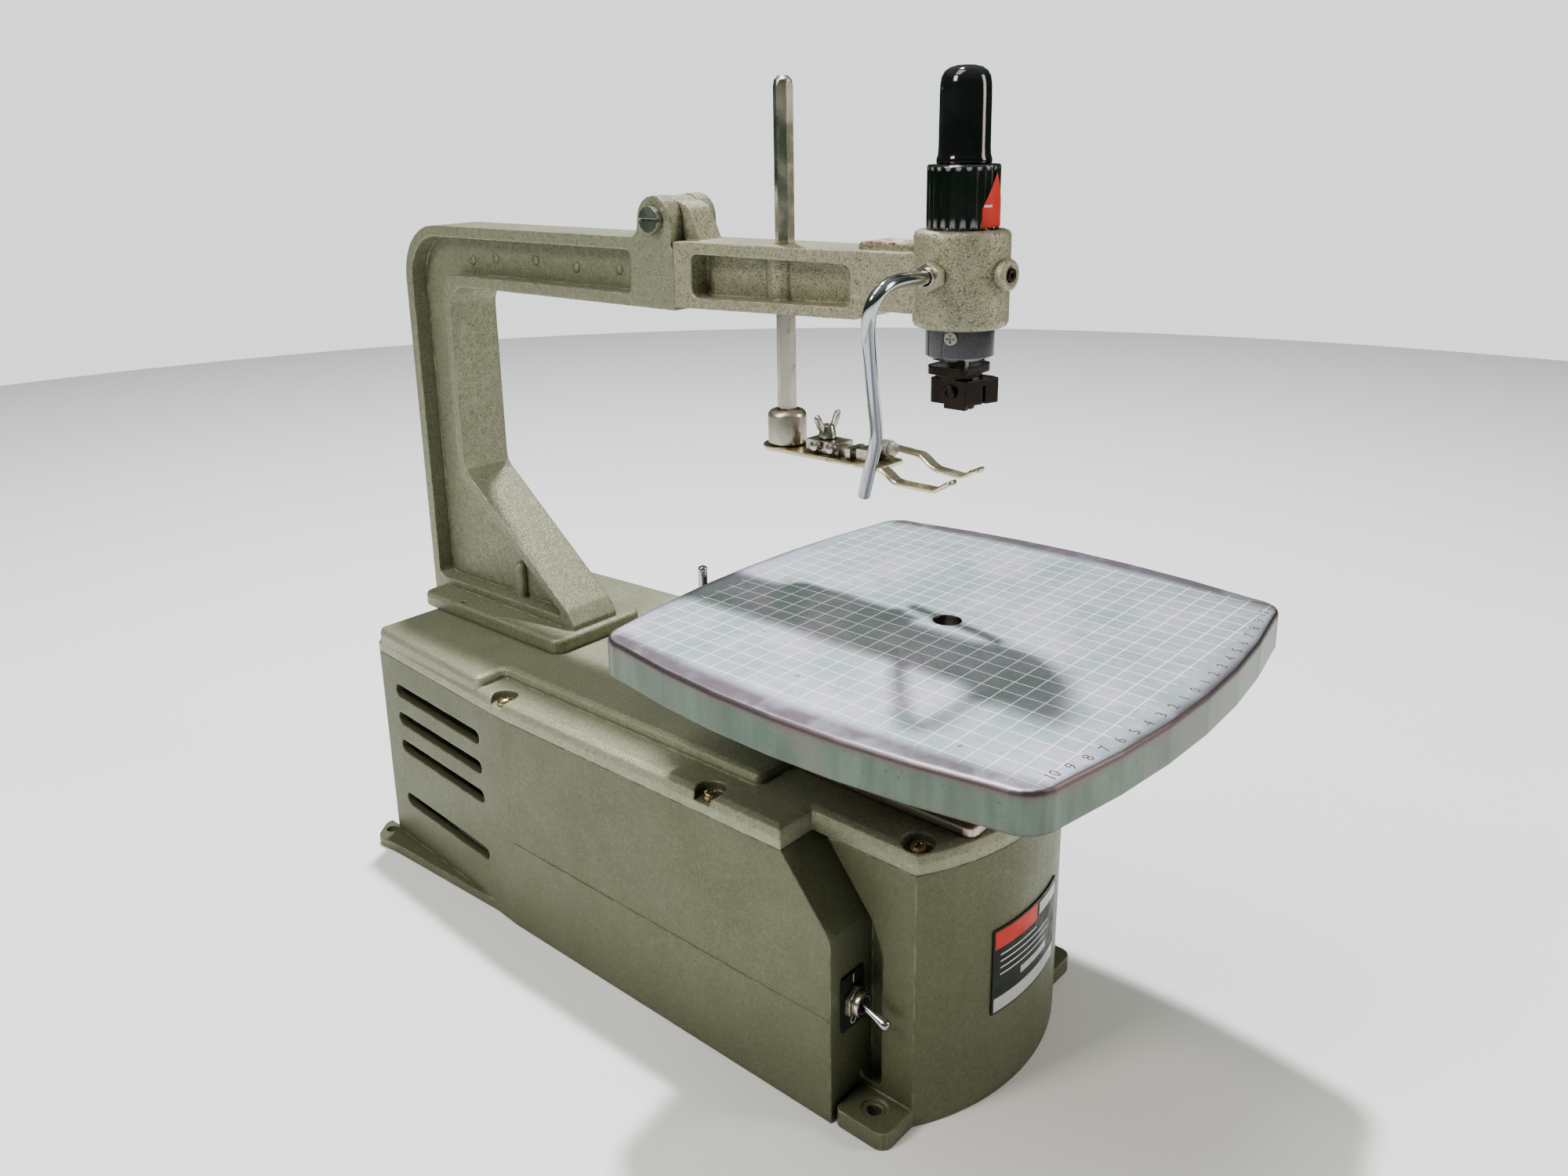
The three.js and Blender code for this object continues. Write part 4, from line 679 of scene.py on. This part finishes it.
def words(name, text, size, material, body, matrix):
    """A raised numeral or mark, lying in the matrix's XY plane."""
    curve = bpy.data.curves.new(name + "_curve", "FONT")
    curve.body = text
    curve.size = size
    curve.align_x = "CENTER"
    curve.align_y = "CENTER"
    curve.extrude = MARK_DEPTH
    curve.resolution_u = 3
    holder = bpy.data.objects.new(name + "_holder", curve)
    bpy.context.scene.collection.objects.link(holder)
    bpy.context.view_layer.update()
    mesh = bpy.data.meshes.new_from_object(holder.evaluated_get(bpy.context.evaluated_depsgraph_get()))
    bpy.data.objects.remove(holder)
    mesh.transform(matrix)
    return finished(name, mesh, material, body)


def make_numerals():
    """The scale 10 to 0 to 10 along the table's bowed front edge, one numeral to a centimetre."""
    for number in range(-10, 11):
        x = number / 100
        y = BLADE_HOLE_Y - NUMERAL_LINE + NUMERAL_BOW * (abs(x) / 0.1) ** 2
        tag = ("left_" if number < 0 else "right_") + str(abs(number))
        words("numeral_" + tag, str(abs(number)), NUMERAL_SIZE, STAMPED, "table_body",
              Matrix.Translation((x, y, TABLE_TOP)))


def make_switch():
    words("switch_mark_on", "I", 0.0068, MARK_WHITE, "base",
          standing(SWITCH_X, BLADE_HOLE_Y - 0.0009, 0.0722))
    words("switch_mark_off", "O", 0.0062, MARK_WHITE, "base",
          standing(SWITCH_X, BLADE_HOLE_Y - 0.0009, 0.0497))
    bat = moved(turned(BAT, 0, 0, 40), standing(SWITCH_X, BLADE_HOLE_Y - 0.0036, SWITCH_Z, 107))
    make("switch_bat_lever", bat, CHROME, "switch_bat", 60, ("switch_lever",))
    nose = moved(turned(BUSHING, 0, 0, 48, False), standing(SWITCH_X, BLADE_HOLE_Y - 0.0041, SWITCH_Z))
    make("switch_bushing_nose", nose, NICKEL, "base", 40)


# ---------------------------------------------------------------- front plate, moulding lines, arm marks
# The front plate's face: an upright cylinder about the middle of the base's round front.
PLATE_R = 0.1217 + 0.0006
PLATE_Y = BLADE_HOLE_Y + 0.072
CAST_MARK = [(0.0001, 0.0), (0.0028, 0.0), (0.0030, 0.00015), (0.0029, 0.0004), (0.0001, 0.0004)]
# Where the marks stand on the rear arm: Y from the blade hole and Z above the bench, in millimetres.
CAST_MARK_PLACES = [(212, 381), (248, 380), (284, 382), (322, 381), (345, 379)]


def on_plate(name, x0, x1, low, high, material):
    """A printed field on the front plate: its edges in millimetres along the plate and above the bench."""
    degrees = [-90 + math.degrees(x / 1000 / PLATE_R) for x in (x0, x1)]
    heights = (low / 1000, high / 1000)
    return curved_patch(name, PLATE_R + 0.00002, PLATE_Y, degrees, heights, 0.00008, material, "base")


def make_front_plate():
    on_plate("plate_red_band", -26, 8, 82.5, 92, PLATE_RED)
    on_plate("plate_foot_strip", -26, 32, 48, 55.5, PLATE_SILVER)
    on_plate("plate_field", 10.5, 31.5, 84, 90.5, PLATE_SILVER)
    for row, (low, wide) in enumerate([(78.2, 30), (74.6, 44), (71.0, 44), (67.4, 40)]):
        on_plate("plate_rule_" + str(row + 1), -22, -22 + wide, low, low + 0.7, MARK_WHITE)
    on_plate("plate_box", -6, 20, 60.5, 64.3, PLATE_SILVER)


def make_moulding_lines():
    """The raised moulding line along each side of the base."""
    for label, side in (("left", -1), ("right", 1)):
        line = [(side * 88.9, y, z) for y, z in ((1.5, 56), (60, 56), (160, 56.2), (236, 56.5))]
        make("moulding_line_" + label, pipe(smooth_path(from_hole(line), 4), 0.0006, 8), FINE_SHADED, "base",
             60)


def make_cast_marks():
    """Small round marks on the rear arm's webs."""
    for index, (y, z) in enumerate(CAST_MARK_PLACES):
        for label, side in (("left", -1), ("right", 1)):
            place = standing(side * 0.0061, BLADE_HOLE_Y + y / 1000, z / 1000, 90 * side, "Y")
            make("cast_mark_%s_%d" % (label, index + 1), moved(turned(CAST_MARK, 0, 0, 24), place), MIDDLE_LIT,
                 "base", 40)


make_head()
make_return_spring()
make_bent_rods()
make_hold_down()
make_numerals()
make_moulding_lines()
make_front_plate()
make_switch()
make_cast_marks()
make_tilt_hub()


# ---------------------------------------------------------------- floor, room, lights and camera
FLOOR_RADIUS, FLOOR_SIDES, FLOOR_DROP = 2.3, 96, 0.0004


def make_floor():
    """A pale disc just below the feet."""
    turn = [2 * math.pi * i / FLOOR_SIDES for i in range(FLOOR_SIDES)]
    rim = [(FLOOR_RADIUS * math.cos(a), FLOOR_RADIUS * math.sin(a), 0) for a in turn]
    mesh = bpy.data.meshes.new("studio_floor")
    mesh.from_pydata(rim, [], [tuple(range(FLOOR_SIDES))])
    floor = bpy.data.objects.new("studio_floor", mesh)
    floor.location.z = -FLOOR_DROP
    bpy.context.scene.collection.objects.link(floor)
    ground = Surface("pale_floor")
    speckle = ground.mix(ground.noise(0.4, 2), (0.86, 0.87, 0.86), (0.83, 0.84, 0.83))
    mesh.materials.append(ground.finish(speckle, 0.7, 0.0))


def make_room():
    """A room that is dim and greenish near the horizon and brighter overhead, behind a pale backdrop."""
    world = bpy.data.worlds.new("studio")
    world.use_nodes = True
    tree = world.node_tree
    height = tree.nodes.new("ShaderNodeSeparateXYZ")
    tree.links.new(tree.nodes.new("ShaderNodeTexCoord").outputs["Generated"], height.inputs[0])
    grade = tree.nodes.new("ShaderNodeValToRGB")
    grade.color_ramp.elements[0].position = 0.02
    grade.color_ramp.elements[0].color = (0.06, 0.15, 0.075, 1)
    grade.color_ramp.elements[1].position = 0.8
    grade.color_ramp.elements[1].color = (0.80, 0.84, 0.85, 1)
    grade.color_ramp.elements.new(0.38).color = (0.18, 0.26, 0.19, 1)
    tree.links.new(height.outputs["Z"], grade.inputs[0])
    room = tree.nodes["Background"]
    tree.links.new(grade.outputs[0], room.inputs[0])
    room.inputs[1].default_value = 0.42
    backdrop = tree.nodes.new("ShaderNodeBackground")
    backdrop.inputs[0].default_value = (0.95, 0.98, 0.98, 1)
    backdrop.inputs[1].default_value = 1.6
    seen = tree.nodes.new("ShaderNodeMixShader")
    tree.links.new(tree.nodes.new("ShaderNodeLightPath").outputs["Is Camera Ray"], seen.inputs[0])
    tree.links.new(room.outputs[0], seen.inputs[1])
    tree.links.new(backdrop.outputs[0], seen.inputs[2])
    tree.links.new(seen.outputs[0], tree.nodes["World Output"].inputs[0])
    bpy.context.scene.world = world


def softbox(name, place, aim, size, power, colour):
    light = bpy.data.lights.new(name, "AREA")
    light.shape = "RECTANGLE"
    light.size, light.size_y = size
    light.energy = power
    light.color = colour
    lamp = bpy.data.objects.new(name, light)
    lamp.location = place
    lamp.rotation_mode = "QUATERNION"
    lamp.rotation_quaternion = (Vector(aim) - Vector(place)).to_track_quat("-Z", "Y")
    bpy.context.scene.collection.objects.link(lamp)


def make_lights():
    """The key stands behind the machine on its right, so the arm's shadow falls forwards on the table."""
    softbox("key_light", (0.42, 0.47, 2.3), (0, -0.05, 0.25), (0.13, 0.13), 98, (0.97, 0.985, 1.0))
    softbox("left_light", (-1.15, 0.30, 1.15), (0, 0.05, 0.38), (0.35, 0.35), 13, (1.0, 0.94, 0.84))
    softbox("front_light", (0.75, -1.25, 0.85), (0, -0.1, 0.33), (0.35, 0.8), 11, (1.0, 0.92, 0.80))
    softbox("over_light", (-0.55, 0.1, 1.7), (0, 0, 0.25), (0.5, 0.9), 12, (1.0, 0.98, 0.94))


def make_camera():
    """The camera as worked out from the table's grid: its lens, its three axes and its place."""
    camera = bpy.data.cameras.new("camera")
    camera.sensor_fit = "HORIZONTAL"
    camera.sensor_width = 36
    camera.lens = 28.71846
    camera.shift_x = 0.0162
    camera.shift_y = -0.0613
    camera.clip_start = 0.02
    camera.clip_end = 50
    right = Vector((0.665222, -0.746385, -0.019732))
    up = Vector((0.220807, 0.171413, 0.960136))
    back = Vector((-0.713249, -0.643061, 0.278834))
    place = Vector((-0.46841, -0.30376 + BLADE_HOLE_Y, 0.22517 + TABLE_TOP))
    eye = bpy.data.objects.new("camera", camera)
    axes = (right, up, back, place)
    eye.matrix_world = Matrix([[axis[row] for axis in axes] for row in range(3)] + [[0, 0, 0, 1]])
    bpy.context.scene.collection.objects.link(eye)
    bpy.context.scene.camera = eye


make_floor()
make_room()
make_lights()
make_camera()
